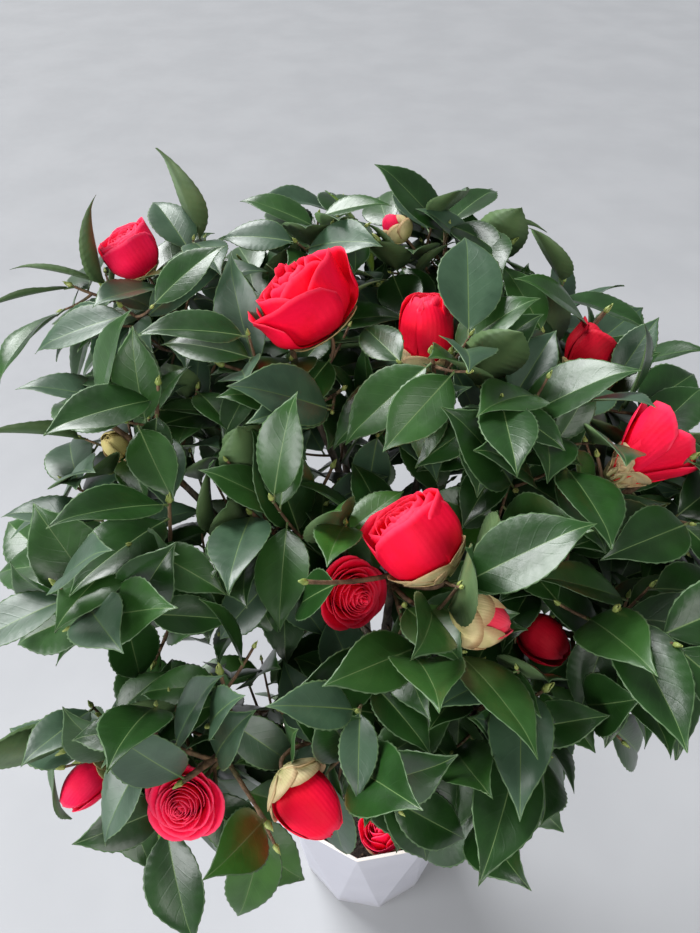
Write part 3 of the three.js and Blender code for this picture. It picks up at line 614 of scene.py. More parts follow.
class Heap:
    """Points, triangles, finishes and places on the sheet, gathered for one joined mesh."""

    def __init__(self):
        self.points, self.faces, self.finishes, self.sheet = [], [], [], []
        self.count = 0

    def add(self, points, faces, finish, sheet=None):
        points = points.reshape(-1, 3)
        self.points.append(points)
        self.faces.append(faces + self.count)
        self.finishes.append(np.broadcast_to(finish, len(faces)))
        self.sheet.append(np.zeros((len(points), 2)) if sheet is None else sheet.reshape(-1, 2))
        self.count += len(points)

    def piece(self, name, finishes, nodes, slot):
        """The whole heap as one smooth piece."""
        points = np.concatenate(self.points) * METRE
        faces = np.concatenate(self.faces)
        mesh = bpy.data.meshes.new(name)
        mesh.vertices.add(len(points))
        mesh.vertices.foreach_set("co", points.astype(np.float32).ravel())
        mesh.loops.add(faces.size)
        mesh.loops.foreach_set("vertex_index", faces.astype(np.int32).ravel())
        mesh.polygons.add(len(faces))
        mesh.polygons.foreach_set("loop_start", np.arange(0, faces.size, 3, dtype=np.int32))
        mesh.polygons.foreach_set("material_index", np.concatenate(self.finishes).astype(np.int32))
        mesh.polygons.foreach_set("use_smooth", np.ones(len(faces), dtype=bool))
        layer = mesh.uv_layers.new(name="sheet")
        places = np.concatenate(self.sheet)[faces.ravel()]
        layer.data.foreach_set("uv", places.astype(np.float32).ravel())
        mesh.update()
        mesh.validate()
        dressed(name, mesh, finishes, nodes)


def put_in_scene(name, data):
    thing = bpy.data.objects.new(name, data)
    bpy.context.scene.collection.objects.link(thing)
    return thing


def dressed(name, mesh, finishes, nodes):
    """A piece on the plant's body, which stands for its nodes."""
    piece = put_in_scene(name, mesh)
    for finish in finishes:
        mesh.materials.append(finish)
    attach(piece, "root")
    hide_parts(*nodes)


def closed_sheet(heap, grid, thickness, finish):
    """A thin sheet with two faces and a rim, from a grid of points, added to a heap."""
    rows, columns = grid.shape[:2]
    normal = np.cross(np.gradient(grid, axis=0), np.gradient(grid, axis=1))
    normal /= np.linalg.norm(normal, axis=-1)[..., None] + TINY
    points = np.concatenate([grid, grid + normal * thickness])
    front = grid_faces(rows, columns)
    back = front[:, ::-1] + rows * columns
    index = np.arange(rows * columns).reshape(rows, columns)
    rim = np.concatenate([index[0], index[1:, -1], index[-1, -2::-1], index[-2:0:-1, 0]])
    ahead = np.roll(rim, -1)
    edge = quads(ahead, rim, rim + rows * columns, ahead + rows * columns)
    along, across = np.meshgrid(np.linspace(0, 1, rows), np.linspace(0, 1, columns), indexing="ij")
    sheet = np.tile(np.stack([across, along], -1), (2, 1, 1))
    heap.add(points, np.concatenate([front, back, edge]), finish, sheet)


TIP_AHEAD, TIP_NARROW = 0.6, 0.3


def tube(heap, limb, sides, steps, finish, relief=None, swell=None):
    """A round limb with a relief on its skin and a rounded tip."""
    angles = np.arange(sides) * FULL_TURN / sides
    rows = []
    for share in np.linspace(0, 1, steps + 1):
        side, across = square_to(limb.heading(share))
        spokes = np.cos(angles)[:, None] * side + np.sin(angles)[:, None] * across
        radius = limb.radius_at(share) * (1 + (swell(share) if swell else 0))
        ring = limb.point(share) + spokes * radius
        if relief:
            ring += spokes * np.array([relief(point, radius) for point in ring])[:, None]
        rows.append(ring)
    tip = limb.point(1) + limb.heading(1) * limb.radius_at(1) * TIP_AHEAD
    rows.append(np.tile(tip, (sides, 1)) + (rows[-1] - limb.point(1)) * TIP_NARROW)
    along, around = np.meshgrid(np.linspace(0, 1, steps + 2), np.arange(sides) / sides, indexing="ij")
    faces = grid_faces(steps + 2, sides, True)
    heap.add(np.array(rows), faces, finish, np.stack([around, along], -1))


# Finishes


class Value:
    """A socket's value in a finish. Sums on it add Math nodes."""

    def __init__(self, finish, socket):
        self.finish, self.socket = finish, socket

    def maths(self, operation, left, right):
        return self.finish.node("ShaderNodeMath", {"operation": operation}, {0: left, 1: right})

    def __add__(self, other):
        return self.maths("ADD", self, other)

    def __radd__(self, other):
        return self.maths("ADD", other, self)

    def __sub__(self, other):
        return self.maths("SUBTRACT", self, other)

    def __rsub__(self, other):
        return self.maths("SUBTRACT", other, self)

    def __mul__(self, other):
        return self.maths("MULTIPLY", self, other)

    def __rmul__(self, other):
        return self.maths("MULTIPLY", other, self)


def solid(colour):
    """A colour with nothing see-through in it. A finish's value stays as it is."""
    return colour if isinstance(colour, Value) else (*colour, 1.0)


class Finish:
    """A procedural material for one of the plant's surfaces. Its lengths are in metres."""

    def __init__(self, name):
        self.material = bpy.data.materials.new(name)
        self.material.use_nodes = True
        self.tree = self.material.node_tree
        self.tree.nodes.clear()

    def node(self, kind, settings=None, sockets=None, output=0):
        made = self.tree.nodes.new(kind)
        for name, value in (settings or {}).items():
            setattr(made, name, value)
        for name, value in (sockets or {}).items():
            if isinstance(value, Value):
                self.tree.links.new(value.socket, made.inputs[name])
            else:
                made.inputs[name].default_value = value
        return Value(self, made.outputs[output]) if made.outputs else None

    def maths(self, operation, value):
        """A Math node that works on one value."""
        return self.node("ShaderNodeMath", {"operation": operation}, {0: value})

    def grain(self, scale, detail=3, stretch=(1, 1, 1), roughness=0.5):
        """Noise over the plant, stretched along each way."""
        where = self.node("ShaderNodeTexCoord", output="Object")
        place = self.node(
            "ShaderNodeVectorMath", {"operation": "MULTIPLY"}, {0: where, 1: stretch}
        )
        return self.node(
            "ShaderNodeTexNoise", {},
            {"Vector": place, "Scale": scale, "Detail": detail, "Roughness": roughness},
        )

    def ramp(self, value, low, high):
        """0 below the low value, 1 above the high one, smooth between them."""
        return self.node(
            "ShaderNodeMapRange", {"interpolation_type": "SMOOTHSTEP"},
            {"Value": value, "From Min": low, "From Max": high},
        )

    def patches(self, rise, *grain):
        """Soft patches, where the grain rises from the low value to the high one."""
        return self.ramp(self.grain(*grain), *rise)

    def mix(self, share, first, second):
        colours = {0: share, 6: solid(first), 7: solid(second)}
        return self.node("ShaderNodeMix", {"data_type": "RGBA"}, colours, output=2)

    def sheet(self):
        """How far a point lies across its sheet, from its middle, and along it."""
        where = self.node("ShaderNodeUVMap", {"uv_map": "sheet"})
        across = self.node("ShaderNodeSeparateXYZ", {}, {0: where}, output=0)
        along = self.node("ShaderNodeSeparateXYZ", {}, {0: where}, output=1)
        return self.maths("ABSOLUTE", across * 2 - 1), along

    def bump(self, height, distance, strength):
        return self.node(
            "ShaderNodeBump", {}, {"Strength": strength, "Distance": distance, "Height": height}
        )

    def surface(self, colour, roughness, bump, constants=None):
        sockets = {"Base Color": colour, "Roughness": roughness, "Normal": bump, **(constants or {})}
        shader = self.node("ShaderNodeBsdfPrincipled", {}, sockets)
        self.node("ShaderNodeOutputMaterial", {}, {"Surface": shader})
        return self.material


# Each grain below is its scale, then any detail, stretch and roughness. Each rise is the two values
# between which something goes from 0 to 1, and each patch is a rise and its grain. Each relief is its
# depth and strength. The planter's rises are heights in metres.

VEINS, VEIN_SLANT, VEIN_RISE, VEIN_FADE, VEIN_PALE, VEIN_DEPTH = 9, 2.2, (0.8, 1), 0.8, 0.12, 0.26
RIB_RISE, RIB_PALE, PALER, PALE_LIFT = (0, 0.22), 0.3, 1.5, 0.01
LEAF_MOTTLE, LEAF_SHEEN, LEAF_PORES, LEAF_SWELL = ((0.32, 0.7), 38), (90, 2), (300, 2), (85, 2)
SHEEN_WANDER, PORE_DEPTH, LEAF_RELIEF = 0.16, 0.4, (0.0006, 0.3)


def leaf_finish(name, deep, bright, gloss):
    """A waxy blade: mottled green, faint side veins, a soft sheen."""
    finish = Finish(name)
    aside, along = finish.sheet()
    wave = finish.maths("FRACT", along * VEINS - aside * VEIN_SLANT)
    vein = finish.ramp(finish.maths("ABSOLUTE", wave * 2 - 1), *VEIN_RISE) * (1 - aside * VEIN_FADE)
    pale = tuple(min(1, PALER * part + PALE_LIFT) for part in bright)
    colour = finish.mix(finish.patches(*LEAF_MOTTLE), deep, bright)
    colour = finish.mix(vein * VEIN_PALE, colour, pale)
    colour = finish.mix((1 - finish.ramp(aside, *RIB_RISE)) * RIB_PALE, colour, pale)
    roughness = gloss + SHEEN_WANDER * finish.grain(*LEAF_SHEEN)
    pores, swell = finish.grain(*LEAF_PORES), finish.grain(*LEAF_SWELL)
    height = VEIN_DEPTH * (1 - vein) + PORE_DEPTH * pores + swell
    return finish.surface(colour, roughness, finish.bump(height, *LEAF_RELIEF))


PLAIN_RISE, PLAIN_FINER, PLAIN_WANDER, PLAIN_RELIEF = (0.3, 0.72), 9, 0.12, (0.0002, 0.4)


def plain_finish(name, colour, other, roughness, scale=60):
    """A fine grained surface that drifts between two near colours."""
    finish = Finish(name)
    fine = finish.grain(scale * PLAIN_FINER, 2)
    mixed = finish.mix(finish.patches(PLAIN_RISE, scale), colour, other)
    return finish.surface(mixed, roughness + PLAIN_WANDER * fine, finish.bump(fine, *PLAIN_RELIEF))


PETAL_DRIFT, PETAL_SHEEN, PETAL_PORES, PETAL_SWELL = ((0.25, 0.75), 45), (120, 2), (300, 2), (60, 3)
DRIFT_SHARE, BRIGHT_RISE, RIM_HIGHLIGHT_RISE, RIM_HIGHLIGHT_SHARE, PETAL_LINES = 0.6, (0.2, 0.9), (0.92, 1), 0.3, 46
PETAL_ROUGHNESS, PETAL_WANDER, LINE_DEPTH, PETAL_RELIEF = 0.55, 0.12, 0.25, (0.0006, 0.35)
PETAL_SHINE = {"Specular IOR Level": 0.14}


def petal_finish(name, deep, bright, rim):
    """A soft petal: deeper towards its foot, with a rim colour at its edge that is a painted
    highlight, and fine veins along it.
    """
    finish = Finish(name)
    aside, along = finish.sheet()
    lighter = finish.ramp(along, *BRIGHT_RISE) * (1 - DRIFT_SHARE)
    colour = finish.mix(finish.patches(*PETAL_DRIFT) * DRIFT_SHARE + lighter, deep, bright)
    # The rim colour mixed in at the petal's edge is a painted highlight.
    colour = finish.mix(finish.ramp(along, *RIM_HIGHLIGHT_RISE) * RIM_HIGHLIGHT_SHARE, colour, rim)
    line = finish.maths("SINE", aside * PETAL_LINES)
    height = line * LINE_DEPTH + finish.grain(*PETAL_PORES) + finish.grain(*PETAL_SWELL)
    roughness = PETAL_ROUGHNESS + PETAL_WANDER * finish.grain(*PETAL_SHEEN)
    return finish.surface(colour, roughness, finish.bump(height, *PETAL_RELIEF), PETAL_SHINE)


SEPAL_STREAK, SEPAL_EDGE = ((0.32, 0.68), 150, 4, (1, 1, 0.3)), (90, 2)
BODY_RISE, BODY_SHARE, BROWN_RISE, BROWN_SHARE = (0.1, 0.7), 0.6, (0.84, 1.04), 0.75
BROWN_ASIDE, BROWN_WANDER, SEPAL_LINES, SEPAL_LINE_DEPTH = 0.12, 0.1, 60, 0.4
SEPAL_ROUGHNESS, STREAK_WANDER, SEPAL_RELIEF = 0.6, 0.12, (0.0004, 0.35)


def sepal_finish(name, foot, body, rim):
    """A papery scale, streaked along its length and brown at its rim."""
    finish = Finish(name)
    aside, along = finish.sheet()
    streak = finish.patches(*SEPAL_STREAK)
    share = finish.ramp(along, *BODY_RISE) * BODY_SHARE + streak * (1 - BODY_SHARE)
    reach = along + BROWN_ASIDE * aside + BROWN_WANDER * finish.grain(*SEPAL_EDGE)
    colour = finish.mix(share, foot, body)
    colour = finish.mix(finish.ramp(reach, *BROWN_RISE) * BROWN_SHARE, colour, rim)
    height = finish.maths("SINE", aside * SEPAL_LINES) * SEPAL_LINE_DEPTH + streak
    roughness = SEPAL_ROUGHNESS + STREAK_WANDER * streak
    return finish.surface(colour, roughness, finish.bump(height, *SEPAL_RELIEF))


BARK_LENGTH, BARK_RISE, BARK_MOSS = (170, 6, (1, 1, 0.18), 0.62), (0.35, 0.66), ((0.55, 0.75), 42)
BARK_CRACK, MOSS_SHARE, CRACK_DEPTH = ((0.3, 0.6), 420, 4, (1, 1, 0.3)), 0.55, 0.5
BARK_ROUGHNESS, BARK_WANDER, BARK_RELIEF = 0.78, 0.14, (0.0009, 0.7)


def bark_finish(name, dark, pale, moss):
    """Grey-brown bark with long cracks, pale streaks and a little green."""
    finish = Finish(name)
    length, crack = finish.grain(*BARK_LENGTH), finish.patches(*BARK_CRACK)
    colour = finish.mix(finish.ramp(length, *BARK_RISE), dark, pale)
    colour = finish.mix(finish.patches(*BARK_MOSS) * MOSS_SHARE, colour, moss)
    height = crack * CRACK_DEPTH + length
    roughness = BARK_ROUGHNESS + BARK_WANDER * crack
    return finish.surface(colour, roughness, finish.bump(height, *BARK_RELIEF))


POT_CLOUD, POT_SPECK, POT_DUST = ((0.35, 0.7), 14, 4), ((0.62, 0.72), 900, 2), ((0.35, 0.7), 60, 4)
CLOUD_SHARE, SPECK_SHARE, DUST_SHARE, RIM_LIGHT_SHARE = 0.5, 0.25, 0.4, 0.85
DUST_RISE, RIM_TOP_RISE, POT_FINE = (0, 0.05), (0.3288, 0.3298), (1400, 2)
POT_ROUGHNESS, POT_WANDER, POT_RELIEF = 0.5, 0.12, (0.0002, 0.35)
# The sides' two cool lilac-greys are painted shade on a white planter, and the warm white below is
# painted light on the rim's top.
POT_SHADE_GREY, POT_SHADE_PALE, SPECK_GREY = (0.49, 0.49, 0.55), (0.56, 0.56, 0.62), (0.42, 0.41, 0.4)
DUST_BROWN, RIM_TOP_PAINTED_LIGHT = (0.33, 0.3, 0.26), (0.86, 0.79, 0.72)


def pot_finish():
    """Matt moulded plastic with a fine grain, scuffs and a little dust low down, its sides a cool
    lilac-grey that is painted shade and its rim's top a warm white that is painted light.
    """
    finish = Finish("pale_matt_plastic")
    where = finish.node("ShaderNodeTexCoord", output="Object")
    height = finish.node("ShaderNodeSeparateXYZ", {}, {0: where}, output=2)
    dust = (1 - finish.ramp(height, *DUST_RISE)) * finish.patches(*POT_DUST)
    colour = finish.mix(finish.patches(*POT_CLOUD) * CLOUD_SHARE, POT_SHADE_GREY, POT_SHADE_PALE)
    colour = finish.mix(finish.patches(*POT_SPECK) * SPECK_SHARE, colour, SPECK_GREY)
    colour = finish.mix(dust * DUST_SHARE, colour, DUST_BROWN)
    # Warm white on the top of the rim: painted light.
    colour = finish.mix(finish.ramp(height, *RIM_TOP_RISE) * RIM_LIGHT_SHARE, colour, RIM_TOP_PAINTED_LIGHT)
    fine = finish.grain(*POT_FINE)
    roughness = POT_ROUGHNESS + POT_WANDER * fine
    return finish.surface(colour, roughness, finish.bump(fine, *POT_RELIEF))


SOIL_CRUMB, SOIL_FINE, FINE_DEPTH = ((0.35, 0.68), 210, 6, (1, 1, 1), 0.7), (700, 4), 0.4
SOIL_ROUGHNESS, SOIL_WANDER, SOIL_RELIEF = 0.86, 0.1, (0.002, 0.9)


def soil_finish(name, dark, pale):
    """Crumbs of mixed sizes, dark between them."""
    finish = Finish(name)
    crumb, fine = finish.patches(*SOIL_CRUMB), finish.grain(*SOIL_FINE)
    roughness = SOIL_ROUGHNESS + SOIL_WANDER * fine
    relief = finish.bump(crumb + fine * FINE_DEPTH, *SOIL_RELIEF)
    return finish.surface(finish.mix(crumb, dark, pale), roughness, relief)


LEAF_FINISHES = [leaf_finish(*row) for row in (
    ("leaf_deep_green", (0.008, 0.032, 0.005), (0.014, 0.052, 0.009), 0.24),
    ("leaf_mid_green", (0.014, 0.05, 0.008), (0.024, 0.076, 0.014), 0.26),
    # A cool grey-green that is a painted sky sheen, dealt mostly to the crown's left.
    ("leaf_cool_green_painted_sheen", (0.025, 0.057, 0.03), (0.04, 0.084, 0.045), 0.29),
    ("leaf_fresh_green", (0.022, 0.076, 0.008), (0.036, 0.11, 0.014), 0.28),
    ("leaf_young_green", (0.14, 0.25, 0.03), (0.2, 0.33, 0.045), 0.35),
)]
LEAF_FINISHES += [plain_finish(*row) for row in (
    ("leaf_midrib", (0.08, 0.14, 0.045), (0.115, 0.18, 0.062), 0.42),
    # The margin's pale green is a painted highlight: the serrated edge catching light.
    ("leaf_margin_painted_highlight", (0.06, 0.115, 0.045), (0.08, 0.145, 0.058), 0.42),
    ("leaf_underside", (0.075, 0.135, 0.05), (0.1, 0.165, 0.062), 0.52),
    ("leaf_stalk", (0.07, 0.13, 0.035), (0.12, 0.14, 0.05), 0.45),
)]
DEEP, MID, COOL_SHEEN, FRESH, YOUNG, RIB, MARGIN_HIGHLIGHT, UNDERSIDE, STALK = range(len(LEAF_FINISHES))

BARK = bark_finish("bark", (0.055, 0.04, 0.03), (0.2, 0.155, 0.12), (0.1, 0.11, 0.065))
TWIG_BARK = bark_finish("twig_bark", (0.07, 0.038, 0.02), (0.19, 0.11, 0.06), (0.09, 0.11, 0.04))
# Each petal finish: its deep and bright colours, then its rim colour, which on the red petals is a
# pale painted highlight.
PETALS = {name: petal_finish(f"petal_{name}", *colours) for name, *colours in (
    ("crimson", (0.68, 0.001, 0.014), (0.93, 0.004, 0.045), (0.95, 0.1, 0.19)),
    ("scarlet", (0.66, 0.001, 0.014), (0.93, 0.008, 0.06), (0.95, 0.12, 0.22)),
    ("rose_red", (0.78, 0.002, 0.035), (0.95, 0.012, 0.085), (0.96, 0.17, 0.3)),
    ("dark_red", (0.34, 0.001, 0.008), (0.6, 0.003, 0.022), (0.7, 0.04, 0.08)),
    ("blush", (0.85, 0.1, 0.14), (0.88, 0.025, 0.07), (0.9, 0.14, 0.2)),
    ("withered", (0.44, 0.36, 0.1), (0.66, 0.56, 0.24), (0.5, 0.33, 0.13)),
)}
SEPALS = {name: sepal_finish(f"sepal_{name}", *colours) for name, *colours in (
    ("green", (0.2, 0.27, 0.07), (0.4, 0.42, 0.17), (0.34, 0.22, 0.1)),
    ("tan", (0.42, 0.42, 0.16), (0.7, 0.56, 0.32), (0.42, 0.26, 0.13)),
    ("cream", (0.42, 0.4, 0.13), (0.72, 0.58, 0.3), (0.4, 0.2, 0.09)),
)}
BUD_GREEN = plain_finish("bud_green", (0.2, 0.27, 0.06), (0.36, 0.4, 0.12), 0.42, 120)


# Leaves

# A blade's places from its foot to its tip, and its half width at each as a share of the widest
OUTLINE_ALONG = (0, 0.03, 0.09, 0.18, 0.3, 0.43, 0.55, 0.66, 0.76, 0.84, 0.9, 0.95, 0.98, 1)
OUTLINE_HALF = (0.05, 0.18, 0.45, 0.73, 0.93, 1, 0.96, 0.84, 0.62, 0.39, 0.22, 0.1, 0.045, 0.012)
HALF_WIDTH_SHARE, BLADE_START, LEAF_ROWS = 0.245, 0.075, 26

# Widths across a blade in millimetres, from its foot to its tip where there are two
RIB_HALF, RIB_DEPTH, MARGIN_WIDTH, TOOTH, FULL_TOOTH_HALF = (0.52, 0.16), (0.8, 0.3), 0.6, 0.75, 6
RIB_MOST, INNER_LEAST, MIDDLE_SHARE = 0.4, 0.45, 0.5

# How blades differ, from the least to the most
BLADE_WAYS = {
    "breadth": (0.9, 1.12), "fold": (0.7, 1.35), "curl": (0.6, 1.25), "arch": (0.05, 0.13),
    "wave": (0.0, 0.016), "phase": (0, FULL_TURN), "bend": (-0.05, 0.05), "twist": (-0.22, 0.22),
}
WAVES, TIP_FALL, TIP_START = 9, 0.05, 0.8

# The strips between a blade's columns, each with its finish. The outer strips wear the margin's pale
# green, a painted highlight along the edge. The last column runs under the rib.
BLADE, UNDER = -1, 8
STRIPS = (
    (0, 1, MARGIN_HIGHLIGHT), (1, 2, BLADE), (2, 3, BLADE), (3, 4, RIB), (4, 5, BLADE), (5, 6, BLADE),
    (6, 7, MARGIN_HIGHLIGHT), (UNDER, 0, UNDERSIDE), (7, UNDER, UNDERSIDE),
)
STALK_BACK, STALK_KNEE, STALK_LIFT, STALK_SIDES, STALK_STEPS = 0.8, 0.35, 0.6, 5, 3
STALK_TAPER = taper(1.25, 0.75)


def blade_grids(leaves, leaf_draw):
    """Folded, curled and twisted blades: their points, and where these lie on the sheet."""
    own = {
        way: leaf_draw.uniform(*limits, (len(leaves), 1, 1)) for way, limits in BLADE_WAYS.items()
    }
    lengths = np.array([leaf.length for leaf in leaves])[:, None, None]
    along = np.linspace(0, 1, LEAF_ROWS + 1)
    half = np.interp(along, OUTLINE_ALONG, OUTLINE_HALF)[None, :, None] * HALF_WIDTH_SHARE * lengths
    half = half * own["breadth"]
    rib = np.minimum(lerp(*RIB_HALF, along)[None, :, None], half * RIB_MOST)
    inner = np.maximum(half - MARGIN_WIDTH, rib + INNER_LEAST * (half - rib))
    middle = rib + MIDDLE_SHARE * (inner - rib)
    tooth = np.where(np.arange(LEAF_ROWS + 1) % 2 == 1, TOOTH, 0)[None, :, None]
    edge = half + tooth * np.minimum(1, half / FULL_TOOTH_HALF)
    aside = np.concatenate([-edge, -inner, -middle, -rib, rib, middle, inner, edge, 0 * rib], axis=2)
    share = np.clip(np.abs(aside) / half, 0, 1)
    ahead = lerp(BLADE_START, 1, along)[None, :, None] + 0 * aside

    height = LEAF_FOLD * own["fold"] * np.abs(aside) - LEAF_CURL * own["curl"] * lengths * ahead**2
    height += own["arch"] * half * np.sin(math.pi * share)
    wave = np.sin(ahead * WAVES + own["phase"] + np.sign(aside))
    height += own["wave"] * lengths * share**2 * wave
    height -= TIP_FALL * lengths * np.clip((ahead - TIP_START) / (1 - TIP_START), 0, 1) ** 2
    height[:, :, UNDER] -= lerp(*RIB_DEPTH, along)[None]
    twist = own["twist"] * ahead
    sideways = aside * np.cos(twist) + own["bend"] * lengths * ahead**2
    height = height + aside * np.sin(twist)

    def spread(name):
        return np.array([getattr(leaf, name) for leaf in leaves])[:, None, None]

    points = spread("place") + (ahead * lengths)[..., None] * spread("direction")
    points = points + sideways[..., None] * spread("breadth") + height[..., None] * spread("normal")
    return points, np.stack([0.5 + 0.5 * np.sign(aside) * share, ahead], -1)


def leaf_meshes(leaves, leaf_draw, heap):
    """Serrated blades with a midrib, a margin, an underside and a stalk."""
    points, sheet = blade_grids(leaves, leaf_draw)
    count, rows, columns = points.shape[:3]
    index = np.arange(rows * columns).reshape(rows, columns)
    faces, kinds = [], []
    for left, right, kind in STRIPS:
        faces.append(quads(index[:-1, left], index[:-1, right], index[1:, right], index[1:, left]))
        kinds.append(np.full(2 * (rows - 1), kind))
    faces, kinds = np.concatenate(faces), np.concatenate(kinds)
    tones = np.array([leaf.tone for leaf in leaves])
    all_faces = (faces[None] + (np.arange(count) * index.size)[:, None, None]).reshape(-1, 3)
    all_kinds = np.where(kinds[None] == BLADE, tones[:, None], kinds[None]).ravel()
    heap.add(points, all_faces, all_kinds, sheet)

    for leaf, blade in zip(leaves, points):
        root = leaf.place - STALK_BACK * leaf.direction
        knee = leaf.place + STALK_KNEE * (blade[0, UNDER] - leaf.place) + STALK_LIFT * leaf.normal
        stalk = Limb(root, knee, blade[1, UNDER], STALK_TAPER, STALK_STEPS)
        tube(heap, stalk, STALK_SIDES, STALK_STEPS, STALK)


# Which greens each part of the crown wears, dealt out by spray. The cool grey-green on the crown's
# left is a painted sky sheen, and the deep greens weighted to the right are painted shade.
PALETTES = {
    "back_left": (COOL_SHEEN, COOL_SHEEN, MID, DEEP),
    "left": (COOL_SHEEN, MID, DEEP, COOL_SHEEN),
    "left_front": (MID, COOL_SHEEN, DEEP, MID),
    "low_left": (MID, DEEP, FRESH, COOL_SHEEN),
    "low_front_left": (MID, COOL_SHEEN, FRESH, DEEP),
    "front": (MID, DEEP, MID, FRESH),
    "right": (DEEP, MID, DEEP, DEEP),
    "right_front": (DEEP, MID, DEEP, DEEP),
}
PLAIN_PALETTE = (DEEP, MID, DEEP, COOL_SHEEN)
YOUNG_SPRAYS = {"back": 1, "back_right": 2, "low_left": 2}
PALETTE_STEP = 3


def deal_tones(mass):
    """Each spray of a mass takes the next green of its palette, and a few tips are young."""
    palette = PALETTES.get(mass.name, PLAIN_PALETTE)
    sprays = []
    for leaf in mass.leaves:
        if leaf.spray not in sprays:
            sprays.append(leaf.spray)
        number = sprays.index(leaf.spray)
        leaf.tone = palette[(number * PALETTE_STEP + mass.number) % len(palette)]
        if YOUNG_SPRAYS.get(mass.name) == number and leaf.order == 0:
            leaf.tone = YOUNG


# Blooms

# Each form of bloom: how many petals, and how they go from the innermost to the outermost
MOST_FORMS = dict(late=2, wrap=1.0, roll=0.03, notch=0.03, lean=0.2, full=1)
FORMS = {name: dict(MOST_FORMS, **own) for name, own in {
    "bud": dict(
        count=8, low=0.5, span=(3.0, 2.2), close=(1.0, 0.78), tall=(0.92, 0.94), belly=0.46,
        late=2.6, roll=0.05, ruffle=0.06, notch=0.04, shoulder=0.36, funnel=0.72, lean=0.3,
    ),
    "cone": dict(
        count=15, low=0.3, span=(2.5, 2.0), close=(0.4, 0.0), tall=(0.84, 1.0), belly=1.0,
        wrap=1.02, ruffle=0.1, notch=0.05, shoulder=0.3, funnel=1.4,
    ),
    "barrel": dict(
        count=20, low=0.12, span=(3.0, 2.6), close=(0.8, 0.52), tall=(0.94, 0.97), belly=0.45,
        late=4, roll=0.01, ruffle=0.03, notch=0.02, shoulder=0.12, funnel=0.6,
    ),
    "rose": dict(
        count=24, low=0.14, span=(2.8, 2.3), close=(0.45, 0.0), tall=(0.92, 0.94), belly=0.64,
        wrap=1.02, ruffle=0.07, shoulder=0.2, funnel=0.85,
    ),
    "open": dict(
        count=18, low=0.18, span=(2.6, 2.1), close=(0.5, -0.22), tall=(1.08, 0.84), belly=0.5,
        late=1.4, wrap=1.06, roll=0.05, ruffle=0.07, shoulder=0.34, funnel=0.75, lean=0.26,
        full=1.18,
    ),
    "formal": dict(
        count=36, low=0.06, span=(2.8, 2.6), close=(0.25, -0.8), tall=(1.0, 0.5), belly=0.42,
        roll=0.01, ruffle=0.006, notch=0.015, shoulder=0.18, funnel=0.8, lean=0.1,
    ),
}.items()}
SCALE_FORM = dict(
    belly=0.42, late=2, wrap=1, roll=0, ruffle=0, notch=0, shoulder=0.5, funnel=0.75, lean=0.1
)
SEPAL_SHAPE = dict(roll=0.02, ruffle=0.02, notch=0, shoulder=0.6)

# Each mesh's columns and rows, and its thickness
PETAL_MESH, SEPAL_MESH, SCALE_MESH = (12, 13), (9, 8), (4, 5)
PETAL_THICK, SEPAL_THICK, SCALE_THICK = 0.4, 0.5, 0.25

# A petal's outline and curve, as shares of its length, its width or its shell's radius
PETAL_START, PETAL_CLIMB, NOTCH_WIDTH = 0.02, 1.15, 0.22
FOOT_WIDTH, FULL_WIDTH_AT, FOOT_DRAW, END_ROLL = 0.5, 0.6, 0.6, 0.7
RUFFLES, RUFFLE_TURNS, RUFFLE_LIFT, LEAN_WANDER = 4, 6, 0.4, 0.5
LEAST_BEND, LEAST_REACH = 1.0, 0.3

# How petals and sepals follow one another in a bloom
FLARE_ROOM, RADIUS_GROWTH, CLOSE_GROWTH = 0.8, 0.9, 1.3
TALL_WANDER, TURN_WANDER = 0.05, 0.2
SEPAL_COUNT, SEPAL_TURN, SEPAL_SPAN, SEPAL_SINK = 8, 1, 2.0, 1.4
SEPAL_HUG, SEPAL_STEP, SEPAL_WANDER = 1.2, 0.35, 0.12
SEPAL_REACH = {"green": (0.24, 0.14), "tan": (0.46, 0.28), "cream": (0.9, 0.55)}

# A winter bud's scales: how many, how wide and how tall, the inner one first
SCALES, SCALE_WIDE, SCALE_TALL, SCALE_CLOSE, SCALE_SPAN = 3, (0.2, 0.25), (1, 0.66), 0.97, 3.2


def petal_grid(columns, rows, radius, height, close, span, shape, draw):
    """A petal on a shell of revolution: out from the foot, up, then in or out to its rim."""
    across = np.linspace(-1, 1, columns)[None, :]
    end = 1 - shape["shoulder"] * (1 - np.sqrt(np.maximum(0, 1 - across**2)))
    end = end - shape["notch"] * np.exp(-((across / NOTCH_WIDTH) ** 2))
    along = np.linspace(PETAL_START, shape.get("cut", 1), rows)[:, None] * end
    rise = np.sin(np.minimum(1, along / shape["belly"]) * math.pi / 2) ** shape["funnel"]
    past = np.clip((along - shape["belly"]) / (1 - shape["belly"]), 0, 1)
    lean = draw(-LEAN_WANDER, LEAN_WANDER) * shape["lean"]
    radial = radius * rise * (1 - (close + lean) * past ** shape["late"])
    narrow = lerp(FOOT_WIDTH, 1, np.sin(np.minimum(1, along / FULL_WIDTH_AT) * math.pi / 2))
    bend = np.maximum(lerp(radius, radial, FOOT_DRAW) * shape["wrap"], LEAST_BEND)
    turn = across * narrow * span / 2
    inward = bend * (1 - np.cos(turn))
    roll = shape["roll"] * radius * (np.abs(across) ** 4 * along + along**6 * END_ROLL)
    ruffle = shape["ruffle"] * radius * np.sin(across * RUFFLES + draw(0, RUFFLE_TURNS)) * along**3
    outward = np.maximum(radial - inward, LEAST_REACH) + roll + ruffle
    return outward, bend * np.sin(turn), height * along**PETAL_CLIMB + ruffle * RUFFLE_LIFT


def stand(grid, foot, facing, turn):
    """A petal's points where it stands on its foot, at a turn round the way that its bloom faces."""
    outward, sideways, up = grid
    side, across = square_to(facing)
    away = side * math.cos(turn) + across * math.sin(turn)
    beside = -side * math.sin(turn) + across * math.cos(turn)
    points = foot + outward[..., None] * away + sideways[..., None] * beside
    return points + up[..., None] * facing


